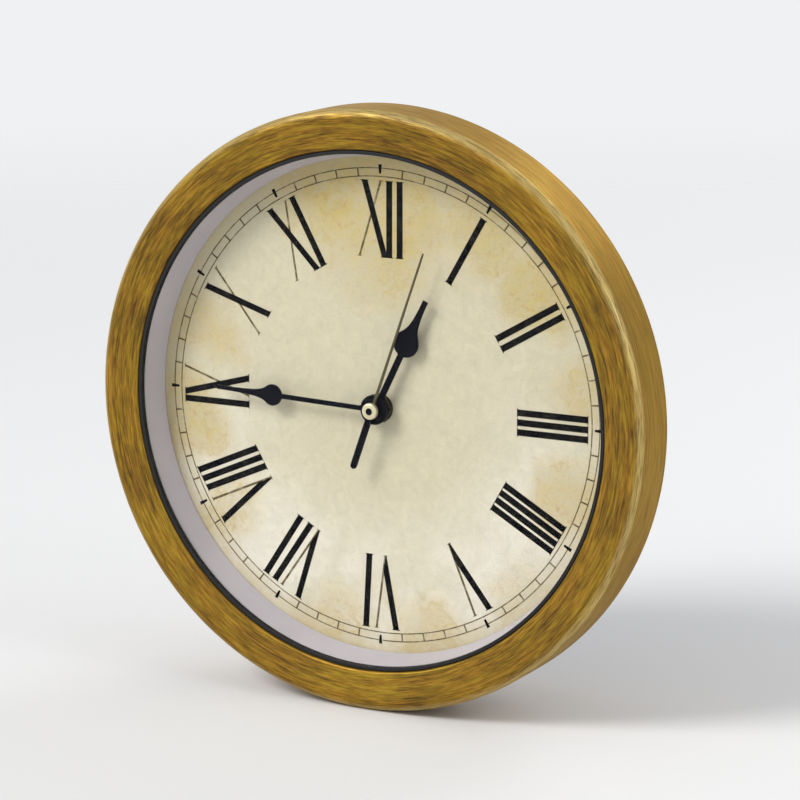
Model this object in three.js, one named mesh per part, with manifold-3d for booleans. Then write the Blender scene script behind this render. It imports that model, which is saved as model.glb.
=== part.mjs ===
// A round wall clock whose whole dial is the door of a hollow case with two shelves.
// Millimetres. X runs right as seen from the front, Z up, and the clock's axis lies along Y.
// The wall is the plane Y = 0 and the dial faces -Y. A "depth" is a distance forward of the wall.
import * as THREE from "three";
import { mergeVertices } from "three/addons/utils/BufferGeometryUtils.js";
import Module from "manifold-3d";

const wasm = await Module();
wasm.setup();

// Driving sizes
const clock = { diameter: 250, depth: 70 };
const clearance = { touch: 0.1, seat: 0.3, running: 0.25, hinge: 0.3, swing: 1.5, overrun: 2 };
const facets = { rim: 56, boss: 16, pin: 10, curve: 5 };
const weld = 0.0001;

const bezel = { depth: 26, face: 16.7, wall: 2.2, edgeRound: 5.5, dish: 1.6, lip: 2.2, lipRound: 1 };
const lens = { thickness: 1.6, overlap: 3.7, setBack: 4.8 };
const gasket = { wall: 1.1, foot: 3.4, thickness: 0.8, rise: 1.2 };
const dial = { thickness: 1.2, setBack: 18, margin: 2.2 };
const reflector = { slope: 3.2, wall: 1.3, flange: 1.2 };
const back = { plate: 1.8, wall: 2, rear: 2, skirt: 1.9, skirtRise: 14, dialGap: 0.3 };
const band = { frontInset: 17.5, rearInset: 22, wall: 1.6, ribs: 12, ribWidth: 2 };
const pan = { wall: 2.5, floor: 3, mouthInset: 28, draft: 1, flangeInset: 17, flange: 3 };
const tab = { width: 22, length: 10, slit: 1.2 };
const shelf = { headroom: 4.8, thickness: 2.4, railWidth: 8, railHeight: 2 };
const hinge = { inset: 9, radius: 3, pin: 1.2, knuckle: 7.6, centreKnuckle: 16, leaf: 2, leafReach: 18 };
const hanger = { inset: 45, width: 36, tall: 24, plate: 1.2, wall: 2, screwInset: 4 };
const nailPocket = { width: 22, tall: 18, depth: 6 };
const keyhole = { head: 8.4, slot: 4, rise: 7 };
const screw = { shaft: 2.2, head: 4.4, headHeight: 1, socket: 1.6, socketDepth: 0.5 };
const doorScrews = { count: 6, inset: 8.5, boss: 6, length: 9 };
const latch = { width: 14, reach: 7, thickness: 2 };

const movement = { side: 56, depth: 16, wall: 1.2, frontShare: 0.5, corner: 3, neck: 8, neckRise: 6.4 };
const nut = { flats: 11, thickness: 1.8, washer: 12, washerThickness: 0.5 };
const cell = { diameter: 14.2, length: 49, nub: 1, nubDiameter: 5.5, bayGap: 0.4 };
const contact = { thickness: 0.4, width: 9, tall: 11 };
const bearing = { radius: 1.7, rise: 1.6, pin: 0.5, gap: 0.2 };
const hourTube = { outer: 5, inner: 3.6 };
const minuteTube = { outer: 3, inner: 1.6 };
const knob = { diameter: 9, thickness: 3, flutes: 12, flute: 0.7, shaft: 1.1, proud: 0.5 };
const board = { width: 13, tall: 20, thickness: 0.8, lift: 9.2, post: 1.2 };
const crystal = { radius: 1, length: 6 };
const stator = { thickness: 1.2, armWidth: 9, barWidth: 4, barLength: 38, hole: 6.6 };
const coil = { radius: 3.4, length: 18, gap: 0.4 };
const magnet = { radius: 2.7, length: 3 };

const hands = { thickness: 0.8, hourLift: 3.4, minuteLift: 5.2, secondLift: 7.2 };
const hourHand = { length: 52, stem: 2.7, bulbAt: 31.7, bulb: 5.6, tip: 2.2, boss: 5.4, angle: 26.1 };
const minuteHand = { length: 75, stem: 2, bulbAt: 48.2, bulb: 4.5, tip: 1.6, boss: 6.2, angle: 272 };
const secondHand = { length: 71, tip: 0.7, root: 1.1, tail: 26.7, tailWidth: 2.8, boss: 2.6, angle: 19.5 };
const hub = { radius: 3.4, height: 1.9, dimple: 1.4, dimpleDepth: 0.5, dome: 0.5 };

// How far round its bulb a hand's outline runs before it sweeps in to the tip, as a share of a quarter turn
const shoulderShare = 0.45;

// Tooth outlines, as shares of the pitch and of the module
const tooth = { tipShare: 0.08, rootShare: 0.19, addendumShare: 0.8, dedendumShare: 1.15 };
const works = { module: 0.5, cannon: 10, motion: 30, motionPinion: 8, hour: 32, face: 1 };
const train = { module: 0.35, rotor: 8, step: 40, face: 0.8, angle: 150 };
const trainPair = { module: 0.33, stepPinion: 8, second: 48 };

// Radii and depths that follow
const half = (length) => length / 2;
const outerRadius = half(clock.diameter);
const caseDepth = clock.depth - bezel.depth;
const openingRadius = outerRadius - bezel.face;
const lensRadius = openingRadius + lens.overlap;
const lensFront = clock.depth - lens.setBack;
const lensRear = lensFront - lens.thickness;
const dialRadius = openingRadius - dial.margin;
const dialDepth = clock.depth - dial.setBack;
const dialRear = dialDepth - dial.thickness;
const plateFront = dialRear - back.dialGap;
const plateRear = plateFront - back.plate;
const mouthRadius = outerRadius - pan.mouthInset;
const flangeRadius = outerRadius - pan.flangeInset;
const nestRadius = flangeRadius + clearance.swing;
const skirtRadius = outerRadius - bezel.wall - clearance.seat;
const flangeFront = plateRear - 2 * clearance.seat;
const flangeRear = flangeFront - pan.flange;
const bandFront = flangeRear - clearance.seat;
const panRadius = mouthRadius + pan.wall;
const bandFrontRadius = outerRadius - band.frontInset;
const bandRearRadius = outerRadius - band.rearInset;
const bandRadiusAt = (depth) =>
  bandRearRadius + ((bandFrontRadius - bandRearRadius) * depth) / bandFront;
const mouthRadiusAt = (depth) =>
  mouthRadius - (pan.draft * (flangeFront - depth)) / (flangeFront - pan.floor);
const hingeDepth = caseDepth + clearance.hinge + half(hinge.leaf);
const hingeX = hinge.inset - outerRadius;
const hangerHeight = outerRadius - hanger.inset;
// The shelves stand clear of the movement above and below it
const shelfHeight = half(movement.side) + shelf.headroom + half(shelf.thickness);

// Materials
const finish = (color, roughness, metalness) =>
  new THREE.MeshStandardMaterial({ color, roughness, metalness, flatShading: true });
const materials = {
  gold: finish(0x96702e, 0.42, 0.75),
  goldBand: finish(0xa57d40, 0.4, 0.75),
  black: finish(0x17171b, 0.32, 0),
  slate: finish(0x3c3a46, 0.5, 0),
  rubber: finish(0x0c0c0e, 0.8, 0),
  lens: finish(0xf2f5f7, 0.05, 0),
  pale: finish(0xb9b6c2, 0.45, 0),
  parchment: finish(0xdccfae, 0.8, 0),
  steel: finish(0x9b9ca0, 0.35, 1),
  brass: finish(0xb8933f, 0.3, 1),
  grey: finish(0x565452, 0.4, 0.6),
  nylon: finish(0xe2e0d6, 0.5, 0),
  board: finish(0x1f5a34, 0.5, 0),
  copper: finish(0xa4562a, 0.35, 0.8),
  cell: finish(0x33363c, 0.35, 0.3),
};
Object.assign(materials.lens, { transparent: true, opacity: 0.2 });

// Solids
function solidOf(geometry) {
  const bare = new THREE.BufferGeometry();
  bare.setAttribute("position", geometry.getAttribute("position"));
  bare.setIndex(geometry.getIndex());
  const merged = mergeVertices(bare, weld);
  const places = merged.getAttribute("position").array;
  const corners = merged.getIndex().array;
  const triangles = [];
  for (let i = 0; i < corners.length; i += 3) {
    const [a, b, c] = corners.slice(i, i + 3);
    if (a !== b && b !== c && c !== a) triangles.push([a, b, c]);
  }
  const at = (i) => new THREE.Vector3().fromArray(places, 3 * i);
  const volume = triangles.reduce((sum, [a, b, c]) => sum + at(a).dot(at(b).cross(at(c))), 0);
  const outward = volume < 0 ? triangles.map(([a, b, c]) => [a, c, b]) : triangles;
  return new wasm.Manifold(
    new wasm.Mesh({
      numProp: 3,
      vertProperties: Float32Array.from(places),
      triVerts: Uint32Array.from(outward.flat()),
    }),
  );
}

function geometryOf(solid) {
  const mesh = solid.getMesh();
  const geometry = new THREE.BufferGeometry();
  geometry.setAttribute("position", new THREE.BufferAttribute(mesh.vertProperties, 3));
  geometry.setIndex(new THREE.BufferAttribute(mesh.triVerts, 1));
  geometry.computeVertexNormals();
  return geometry;
}

const union = (solids) => solids.reduce((all, next) => all.add(next));
const without = (solid, cuts) => cuts.reduce((rest, cut) => rest.subtract(cut), solid);

// A solid turned about the clock's axis from an outline of [radius, depth] points
function turned(outline, count = facets.rim) {
  const points = outline.map(([radius, depth]) => new THREE.Vector2(radius, -depth));
  const closed = outline[0][0] > 0 ? [...points, points[0].clone()] : points;
  return solidOf(new THREE.LatheGeometry(closed, count));
}

const ring = (inner, outer, rear, front, count) =>
  turned([[inner, rear], [outer, rear], [outer, front], [inner, front]], count);
const disc = (radius, rear, front, count) =>
  turned([[0, rear], [radius, rear], [radius, front], [0, front]], count);

// An outline drawn in X and Z, made solid between two depths
function forward(shape, rear, front) {
  const settings = { depth: front - rear, bevelEnabled: false, curveSegments: facets.curve };
  const geometry = new THREE.ExtrudeGeometry(shape, settings);
  geometry.translate(0, 0, rear);
  geometry.rotateX(Math.PI / 2);
  return solidOf(geometry);
}

// An outline drawn in X and depth, made solid between two heights
function upward(points, low, high) {
  const shape = new THREE.Shape(points.map(([x, depth]) => new THREE.Vector2(x, -depth)));
  const geometry = new THREE.ExtrudeGeometry(shape, { depth: high - low, bevelEnabled: false });
  geometry.translate(0, 0, low);
  return solidOf(geometry);
}

// A box from its spans in X, depth and Z
function block([left, right], [rear, front], [low, high]) {
  const geometry = new THREE.BoxGeometry(right - left, front - rear, high - low);
  geometry.translate(half(left + right), -half(rear + front), half(low + high));
  return solidOf(geometry);
}

// A cylinder along the clock's axis, at a place in X and Z
function rod(radius, rear, front, [x, z] = [0, 0], count = facets.boss) {
  return disc(radius, rear, front, count).translate([x, 0, z]);
}

// A cylinder that stands up, at a place in X and depth
function upright(radius, low, high, [x, depth], count = facets.boss) {
  const geometry = new THREE.CylinderGeometry(radius, radius, high - low, count);
  geometry.rotateX(Math.PI / 2);
  geometry.translate(x, -depth, half(low + high));
  return solidOf(geometry);
}

// A cylinder across the clock, at a depth and a height
function across(radius, left, right, [depth, z], count = facets.boss) {
  const geometry = new THREE.CylinderGeometry(radius, radius, right - left, count);
  geometry.rotateZ(Math.PI / 2);
  geometry.translate(half(left + right), -depth, z);
  return solidOf(geometry);
}

const around = (radius, angle) => [radius * Math.cos(angle), radius * Math.sin(angle)];
const span = (centre, width) => [centre - half(width), centre + half(width)];

// A toothed disc. One tooth, or one gap, points at the given angle.
function gear(teeth, module, angle, pointsGap, rear, front) {
  const radius = half(teeth * module);
  const pitch = (2 * Math.PI) / teeth;
  const start = angle + (pointsGap ? half(pitch) : 0);
  const tip = radius + tooth.addendumShare * module;
  const root = radius - tooth.dedendumShare * module;
  const corners = [];
  for (let i = 0; i < teeth; i++) {
    const middle = start + i * pitch;
    corners.push(around(root, middle - tooth.rootShare * pitch));
    corners.push(around(tip, middle - tooth.tipShare * pitch));
    corners.push(around(tip, middle + tooth.tipShare * pitch));
    corners.push(around(root, middle + tooth.rootShare * pitch));
  }
  return forward(new THREE.Shape(corners.map(([x, z]) => new THREE.Vector2(x, z))), rear, front);
}

// A screw along Y whose head's underside is at the origin and whose shaft runs to -Y
function screwSolid(length) {
  const shaft = half(screw.shaft);
  const head = half(screw.head);
  const socket = half(screw.socket);
  const outline = [
    [0, length],
    [shaft, length],
    [shaft, 0],
    [head, 0],
    [head, -screw.headHeight],
    [socket, -screw.headHeight],
    [socket, screw.socketDepth - screw.headHeight],
    [0, screw.socketDepth - screw.headHeight],
  ];
  return turned(outline, facets.pin);
}

function add(group, name, solid, material) {
  const mesh = new THREE.Mesh(geometryOf(solid), material);
  mesh.name = name;
  group.add(mesh);
  return mesh;
}

function addScrew(group, name, length, [x, depth, z]) {
  const mesh = add(group, name, screwSolid(length), materials.steel);
  mesh.position.set(x, -depth, z);
  return mesh;
}

const screwHoleRadius = half(screw.shaft) + clearance.running;
const screwHole = (depth, [x, z], length) =>
  rod(screwHoleRadius, depth, depth + length, [x, z], facets.pin);

// Hinge
const hingeAxis = [hingeX, hingeDepth];
const hingeHalf = half(hinge.centreKnuckle) + clearance.hinge + hinge.knuckle;
const leafFront = caseDepth - half(hinge.radius);
const leafRear = leafFront - hinge.leafReach;
const caseScrewDepth = half(leafFront + leafRear) - hinge.leaf;
const caseScrewPlaces = [-1, 1].map((side) => [caseScrewDepth, side * half(hingeHalf)]);
const caseScrewHoles = (right) =>
  caseScrewPlaces.map((place) => across(screwHoleRadius, -outerRadius, right, place, facets.pin));
const doorLeafRight = hingeX + hinge.radius + doorScrews.boss + screw.head + hinge.leaf;
const doorLeafRear = plateRear - clearance.seat - hinge.leaf;
const doorHingeScrews = [-1, 1].map((side) => [
  doorLeafRight - screw.head,
  side * (half(hinge.centreKnuckle) - screw.head),
]);

// Case
const caseGroup = new THREE.Group();

function panRibs() {
  const innerAt = (depth) => bandRadiusAt(depth) - band.wall - clearance.seat;
  const low = half(pan.floor);
  const high = bandFront - half(pan.floor);
  const cuff = turned([
    [panRadius - half(pan.wall), low],
    [innerAt(low), low],
    [innerAt(high), high],
    [panRadius - half(pan.wall), high],
  ]);
  const blades = Array.from({ length: band.ribs }, (_, i) => {
    const blade = block([0, outerRadius], [0, clock.depth], span(0, band.ribWidth));
    return blade.rotate([0, ((i + half(1)) * 360) / band.ribs, 0]);
  });
  return cuff.intersect(union(blades));
}

function shelfRails() {
  const inside = turned([
    [0, half(pan.floor)],
    [panRadius - half(pan.wall), half(pan.floor)],
    [panRadius - half(pan.wall), caseDepth],
    [0, caseDepth],
  ]);
  const offset = half(shelf.thickness) + clearance.seat;
  const rails = [];
  for (const level of [-shelfHeight, shelfHeight])
    for (const side of [-1, 1])
      for (const face of [-1, 1]) {
        const low = level + (face > 0 ? offset : -offset - shelf.railHeight);
        const wallX = Math.sqrt(mouthRadius ** 2 - shelfHeight ** 2);
        const reach = [wallX - shelf.railWidth, mouthRadius];
        const x = side > 0 ? reach : [-reach[1], -reach[0]];
        rails.push(block(x, [half(pan.floor), caseDepth - pan.floor], [low, low + shelf.railHeight]));
      }
  return union(rails).intersect(inside);
}

const hangerPlateRear = screw.headHeight + clearance.seat;
const hangerStep = hangerPlateRear + hanger.plate + clearance.seat;
const hangerScrewX = half(hanger.width) - hanger.screwInset;
const hangerScrewPlaces = [-1, 1].map((side) => [side * hangerScrewX, hangerHeight]);

function buildPan() {
  const floorRadius = bandRadiusAt(0) - band.wall - 2 * clearance.seat;
  const shell = turned([
    [0, 0],
    [floorRadius, 0],
    [floorRadius, pan.floor],
    [panRadius, pan.floor],
    [panRadius, flangeRear],
    [flangeRadius, flangeRear],
    [flangeRadius, flangeFront],
    [mouthRadius, flangeFront],
    [mouthRadiusAt(pan.floor), pan.floor],
    [0, pan.floor],
  ]);
  const pocketTop = nailPocket.depth + hanger.wall;
  const pocketBox = block(
    span(0, hanger.width + 2 * hanger.wall),
    [half(pan.floor), pocketTop],
    span(hangerHeight, hanger.tall + 2 * hanger.wall),
  );
  const insideBand = turned([
    [0, 0],
    [floorRadius, 0],
    [bandRadiusAt(bandFront) - band.wall - 2 * clearance.seat, bandFront],
    [0, bandFront],
  ]);
  const bossEnd = -mouthRadius - half(pan.wall);
  const bosses = caseScrewPlaces.map((place) =>
    across(half(doorScrews.boss), -outerRadius, bossEnd, place).intersect(insideBand),
  );
  const cuts = [
    block(
      span(0, hanger.width + clearance.seat),
      [-clearance.overrun, hangerStep],
      span(hangerHeight, hanger.tall + clearance.seat),
    ),
    block(
      span(0, nailPocket.width),
      [0, nailPocket.depth],
      span(hangerHeight, nailPocket.tall),
    ),
    block(
      [-flangeRadius - clearance.overrun, -panRadius],
      [flangeRear - clearance.overrun, flangeFront + clearance.overrun],
      span(0, hinge.centreKnuckle + 2 * clearance.swing),
    ),
    ...hangerScrewPlaces.map((place) => screwHole(0, place, nailPocket.depth)),
    ...caseScrewHoles(bossEnd),
  ];
  return without(union([shell, panRibs(), shelfRails(), pocketBox, ...bosses]), cuts);
}

function buildBand() {
  const sleeve = turned([
    [bandRearRadius - band.wall, 0],
    [bandRearRadius, 0],
    [bandFrontRadius, bandFront],
    [bandFrontRadius - band.wall, bandFront],
  ]);
  const slits = [-1, 1].map((side) =>
    block(
      [mouthRadius, outerRadius],
      [bandFront - tab.length, clock.depth],
      span(side * half(tab.width), tab.slit),
    ),
  );
  return without(sleeve, [...slits, ...caseScrewHoles(-mouthRadius)]);
}

function buildShelf(level) {
  const radiusAt = (depth) => mouthRadiusAt(depth) - clearance.seat;
  const rear = pan.floor + clearance.seat;
  const front = caseDepth - clearance.seat;
  const fill = turned([
    [0, rear],
    [radiusAt(rear), rear],
    [radiusAt(front), front],
    [0, front],
  ]);
  return fill.intersect(block(span(0, clock.diameter), [0, clock.depth], span(level, shelf.thickness)));
}

function buildHanger() {
  const plate = block(
    span(0, hanger.width),
    [hangerPlateRear, hangerPlateRear + hanger.plate],
    span(hangerHeight, hanger.tall),
  );
  const low = hangerHeight - half(keyhole.rise);
  const cuts = [
    rod(half(keyhole.head), 0, nailPocket.depth, [0, low]),
    rod(half(keyhole.slot), 0, nailPocket.depth, [0, low + keyhole.rise]),
    block(span(0, keyhole.slot), [0, nailPocket.depth], [low, low + keyhole.rise]),
    ...hangerScrewPlaces.map((place) => screwHole(0, place, nailPocket.depth)),
  ];
  return without(plate, cuts);
}

function buildCaseLeaf() {
  const innerAt = (depth) => bandRadiusAt(depth) + clearance.seat;
  const outerAt = (depth) => innerAt(depth) + hinge.leaf;
  const sleeve = turned([
    [innerAt(leafRear), leafRear],
    [outerAt(leafRear), leafRear],
    [outerAt(leafFront), leafFront],
    [innerAt(leafFront), leafFront],
  ]);
  const wholeHeight = block([-clock.diameter, 0], [0, clock.depth], span(0, 2 * hingeHalf));
  const plate = sleeve.intersect(wholeHeight);
  const webRight = -outerAt(leafFront) + half(hinge.leaf);
  const web = [
    [hingeX + hinge.radius - clearance.hinge, hingeDepth - half(hinge.pin)],
    [webRight, leafFront - clearance.seat],
    [webRight, leafFront - hinge.radius],
    [hingeX + half(hinge.radius), hingeDepth - hinge.radius + clearance.hinge],
  ];
  const knuckles = [-1, 1].flatMap((side) => {
    const ends = [side * (hingeHalf - hinge.knuckle), side * hingeHalf].sort((a, b) => a - b);
    return [upright(hinge.radius, ...ends, hingeAxis), upward(web, ...ends)];
  });
  const cuts = [
    upright(hinge.pin + clearance.running, -clock.diameter, clock.diameter, hingeAxis),
    ...caseScrewHoles(0),
  ];
  return without(union([plate, ...knuckles]), cuts);
}

add(caseGroup, "case_pan", buildPan(), materials.slate);
add(caseGroup, "outer_band", buildBand(), materials.goldBand);
add(caseGroup, "upper_shelf", buildShelf(shelfHeight), materials.black);
add(caseGroup, "lower_shelf", buildShelf(-shelfHeight), materials.black);
add(caseGroup, "keyhole_hanger", buildHanger(), materials.steel);
hangerScrewPlaces.forEach(([x, z], i) => {
  // The heads stay in the pocket's step, short of the wall face
  const seat = hangerPlateRear - clearance.touch;
  addScrew(caseGroup, `hanger_screw_${i + 1}`, nailPocket.depth - seat - clearance.seat, [x, seat, z]);
});
add(caseGroup, "case_hinge_leaf", buildCaseLeaf(), materials.black);
caseScrewPlaces.forEach(([depth, z], i) => {
  const seat = bandRadiusAt(depth) + hinge.leaf + 2 * clearance.seat;
  const length = seat - mouthRadius - pan.wall;
  const mesh = addScrew(caseGroup, `case_hinge_screw_${i + 1}`, length, [-seat, depth, z]);
  mesh.rotation.z = Math.PI / 2;
});
add(
  caseGroup,
  "hinge_pin",
  upright(hinge.pin, -hingeHalf - half(hinge.pin), hingeHalf + half(hinge.pin), hingeAxis),
  materials.steel,
);

// Door
const doorGroup = new THREE.Group();
const doorScrewAngles = Array.from(
  { length: doorScrews.count },
  (_, i) => ((i + half(1)) * 2 * Math.PI) / doorScrews.count,
);
const doorScrewPlaces = doorScrewAngles.map((angle) => around(outerRadius - doorScrews.inset, angle));
const lipRear = lensFront + gasket.thickness + 2 * clearance.seat;
const skirtFront = caseDepth + back.skirtRise;

function buildBezel() {
  const rounded = [];
  for (let i = 0; i <= facets.curve; i++) {
    const angle = (i / facets.curve) * half(Math.PI);
    rounded.push([
      outerRadius - bezel.edgeRound * (1 - Math.cos(angle)),
      clock.depth - bezel.edgeRound * (1 - Math.sin(angle)),
    ]);
  }
  const faceInner = clock.depth - bezel.dish;
  const shell = turned([
    [outerRadius - bezel.wall, caseDepth],
    [outerRadius, caseDepth],
    ...rounded,
    [openingRadius + bezel.lipRound, faceInner],
    [openingRadius, faceInner - bezel.lipRound],
    [openingRadius, lipRear],
    [outerRadius - bezel.edgeRound, lipRear],
    [outerRadius - bezel.wall, lipRear - bezel.edgeRound + bezel.wall],
  ]);
  const bossRear = caseDepth + back.rear + clearance.seat;
  const bosses = doorScrewPlaces.map((place) =>
    rod(half(doorScrews.boss), bossRear, lipRear + half(bezel.lip), place).subtract(
      screwHole(caseDepth, place, doorScrews.length + back.rear),
    ),
  );
  return union([shell, ...bosses]);
}

function buildGasket() {
  const inner = openingRadius - gasket.wall;
  const foot = inner + gasket.foot;
  const rear = lensFront + clearance.seat;
  const top = rear + gasket.thickness;
  const lipInner = openingRadius - clearance.seat;
  return turned([
    [inner, rear],
    [foot, rear],
    [foot, top],
    [lipInner, top],
    [lipInner, top + gasket.rise],
    [inner, top + gasket.rise],
  ]);
}

function buildReflector() {
  const top = lensRear - clearance.seat;
  const foot = dialDepth + clearance.seat;
  const upper = openingRadius - gasket.wall;
  const lower = upper - reflector.slope;
  return turned([
    [lower, foot],
    [lower + reflector.wall, foot],
    [upper + reflector.wall, top - reflector.flange],
    [lensRadius, top - reflector.flange],
    [lensRadius, top],
    [upper, top],
  ]);
}

const hingePocket = {
  x: [hingeX - hinge.radius - clearance.swing, hingeX + hinge.radius + clearance.swing],
  z: span(0, 2 * (hingeHalf + clearance.swing)),
  front: hingeDepth + hinge.radius + clearance.swing,
};

function buildDoorBack() {
  const nestWall = nestRadius + back.wall;
  const shell = turned([
    [half(movement.neck) + clearance.seat, plateRear],
    [nestRadius, plateRear],
    [nestRadius, caseDepth],
    [skirtRadius, caseDepth],
    [skirtRadius, skirtFront],
    [skirtRadius - back.skirt, skirtFront],
    [skirtRadius - back.skirt, caseDepth + back.rear],
    [nestWall, caseDepth + back.rear],
    [nestWall, plateFront],
    [half(movement.neck) + clearance.seat, plateFront],
  ]);
  const grow = ([low, high], by) => [low - by, high + by];
  const pocketWalls = block(
    grow(hingePocket.x, half(back.wall)),
    [caseDepth, hingePocket.front + half(back.wall)],
    grow(hingePocket.z, half(back.wall)),
  ).intersect(disc(skirtRadius - half(back.skirt), caseDepth, clock.depth));
  const latchRight = mouthRadiusAt(caseDepth) - 2 * clearance.seat;
  const latchFace = disc(latchRight, 0, clock.depth);
  const tongue = block(
    [latchRight - latch.thickness, latchRight + clearance.overrun],
    [plateRear - latch.reach, plateFront],
    span(0, latch.width),
  ).intersect(latchFace);
  const pocket = block(hingePocket.x, [caseDepth - clearance.overrun, hingePocket.front], hingePocket.z);
  const leafWay = block(
    [hingePocket.x[1] - clearance.overrun, doorLeafRight + clearance.seat],
    [caseDepth - clearance.overrun, plateRear],
    span(0, hinge.centreKnuckle + 2 * clearance.seat),
  );
  const cutStart = caseDepth - clearance.overrun;
  const headSeat = caseDepth + screw.headHeight + clearance.running;
  const headWay = half(screw.head) + clearance.running;
  const hingeHoleDepth = clearance.overrun + back.plate - clearance.seat;
  const cuts = [
    pocket,
    leafWay,
    ...doorScrewPlaces.map((place) => screwHole(cutStart, place, 2 * doorScrews.length)),
    ...doorScrewPlaces.map((place) => rod(headWay, cutStart, headSeat, place, facets.pin)),
    ...doorHingeScrews.map((place) => screwHole(plateRear - clearance.overrun, place, hingeHoleDepth)),
  ];
  return without(union([shell, pocketWalls, tongue]), cuts);
}

function buildDoorLeaf() {
  const height = span(0, hinge.centreKnuckle);
  const plate = block([hingeX, doorLeafRight], [doorLeafRear, doorLeafRear + hinge.leaf], height);
  const holeRear = doorLeafRear - clearance.overrun;
  const cuts = [
    upright(hinge.pin + clearance.running, ...height.map((z) => 2 * z), hingeAxis),
    ...doorHingeScrews.map((place) => screwHole(holeRear, place, 2 * clearance.overrun + hinge.leaf)),
  ];
  return without(union([upright(hinge.radius, ...height, hingeAxis), plate]), cuts);
}

const dialHole = half(movement.neck) + clearance.seat;
add(doorGroup, "bezel", buildBezel(), materials.gold);
add(doorGroup, "lens", disc(lensRadius, lensRear, lensFront), materials.lens);
add(doorGroup, "lens_gasket", buildGasket(), materials.rubber);
add(doorGroup, "reflector_ring", buildReflector(), materials.pale);
add(doorGroup, "dial", ring(dialHole, dialRadius, dialRear, dialDepth), materials.parchment);
add(doorGroup, "door_back", buildDoorBack(), materials.black);
doorScrewPlaces.forEach(([x, z], i) =>
  addScrew(doorGroup, `door_screw_${i + 1}`, doorScrews.length, [x, caseDepth + screw.headHeight, z]),
);
add(doorGroup, "door_hinge_leaf", buildDoorLeaf(), materials.black);
doorHingeScrews.forEach(([x, z], i) =>
  addScrew(doorGroup, `door_hinge_screw_${i + 1}`, hinge.leaf + half(back.plate), [x, doorLeafRear, z]),
);

// Movement, on the back of the door
const shellFront = plateRear - clearance.seat;
const shellRear = shellFront - movement.depth;
const shellSplit = shellFront - movement.frontShare * movement.depth;
const frontFloor = shellFront - movement.wall;
const rearFloor = shellRear + movement.wall;
const cellRadius = half(cell.diameter);
const cellHeight = -half(movement.side) + movement.wall + cellRadius + half(cell.bayGap);
const cellDepth = frontFloor - cell.bayGap - cellRadius;
const bayTop = cellHeight + cellRadius + cell.bayGap;
const bayHalf = half(movement.side) - movement.wall;
const motionPlace = [0, half(works.module * (works.cannon + works.motion))];
const trainAngle = (train.angle * Math.PI) / 180;
const stepPlace = around(half(trainPair.module * (trainPair.stepPinion + trainPair.second)), trainAngle);
const rotorReach = around(half(train.module * (train.rotor + train.step)), trainAngle);
const rotorPlace = [stepPlace[0] + rotorReach[0], stepPlace[1] + rotorReach[1]];
const boardPlace = [bayHalf - half(board.width) - bearing.rise, half(clearance.overrun)];
const boardRear = frontFloor - board.lift;

function roundedSquare(side, corner) {
  const edge = half(side);
  const inner = edge - corner;
  const shape = new THREE.Shape();
  shape.absarc(inner, inner, corner, 0, half(Math.PI));
  shape.absarc(-inner, inner, corner, half(Math.PI), Math.PI);
  shape.absarc(-inner, -inner, corner, Math.PI, 1.5 * Math.PI);
  shape.absarc(inner, -inner, corner, 1.5 * Math.PI, 2 * Math.PI);
  return shape;
}

function halfBox(rear, front, floorRear, floorFront) {
  const wallSolid = forward(roundedSquare(movement.side, movement.corner), rear, front);
  const inner = roundedSquare(movement.side - 2 * movement.wall, movement.corner - movement.wall);
  const wide = span(0, movement.side - movement.wall);
  const divider = block(wide, [rear, front], [bayTop, bayTop + movement.wall]);
  const floor = block(wide, [floorRear, floorFront], wide);
  const hollow = forward(inner, rear - clearance.overrun, front + clearance.overrun);
  return union([wallSolid.subtract(hollow), divider, floor]);
}

const bearingPlaces = [rotorPlace, stepPlace];
const postReach = half(board.tall) - board.post;
const boardPosts = [-1, 1].map((side) => [boardPlace[0], boardPlace[1] + side * postReach]);

function buildFrontShell() {
  const tray = halfBox(shellSplit + half(clearance.seat), shellFront, frontFloor, shellFront);
  const neck = rod(half(movement.neck), frontFloor, shellFront + movement.neckRise);
  const bosses = [...bearingPlaces, motionPlace].map((place) =>
    rod(bearing.radius, frontFloor - bearing.rise, shellFront - half(movement.wall), place, facets.pin),
  );
  const postRear = boardRear + board.thickness + clearance.seat;
  const posts = boardPosts.map((place) =>
    rod(board.post, postRear, shellFront - half(movement.wall), place, facets.pin),
  );
  const sockets = [...bearingPlaces, motionPlace].map((place, i) =>
    rod(
      (i < bearingPlaces.length ? bearing.pin : knob.shaft) + bearing.gap,
      frontFloor - bearing.rise - clearance.overrun,
      frontFloor - half(bearing.pin),
      place,
      facets.pin,
    ),
  );
  const bore = rod(half(hourTube.outer) + clearance.running, 0, clock.depth);
  return without(union([tray, neck, ...bosses, ...posts]), [...sockets, bore]);
}

function buildRearCover() {
  const tray = halfBox(shellRear, shellSplit - half(clearance.seat), shellRear, rearFloor);
  const bosses = [...bearingPlaces, [0, 0]].map((place) =>
    rod(bearing.radius, shellRear + half(movement.wall), rearFloor + bearing.rise, place, facets.pin),
  );
  const sockets = [...bearingPlaces, [0, 0]].map((place) =>
    rod(bearing.pin + bearing.gap, rearFloor, clock.depth, place, facets.pin),
  );
  const bay = block(span(0, 2 * bayHalf), [0, clock.depth], [-bayHalf, bayTop]);
  const knobWay = rod(knob.shaft + bearing.gap, 0, clock.depth, motionPlace);
  return without(union([tray, ...bosses]), [...sockets, bay, knobWay]);
}

function hexagon(flats) {
  const radius = half(flats) / Math.cos(Math.PI / 6);
  const corners = Array.from({ length: 6 }, (_, i) => around(radius, (i * Math.PI) / 3));
  return new THREE.Shape(corners.map(([x, z]) => new THREE.Vector2(x, z)));
}

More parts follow.
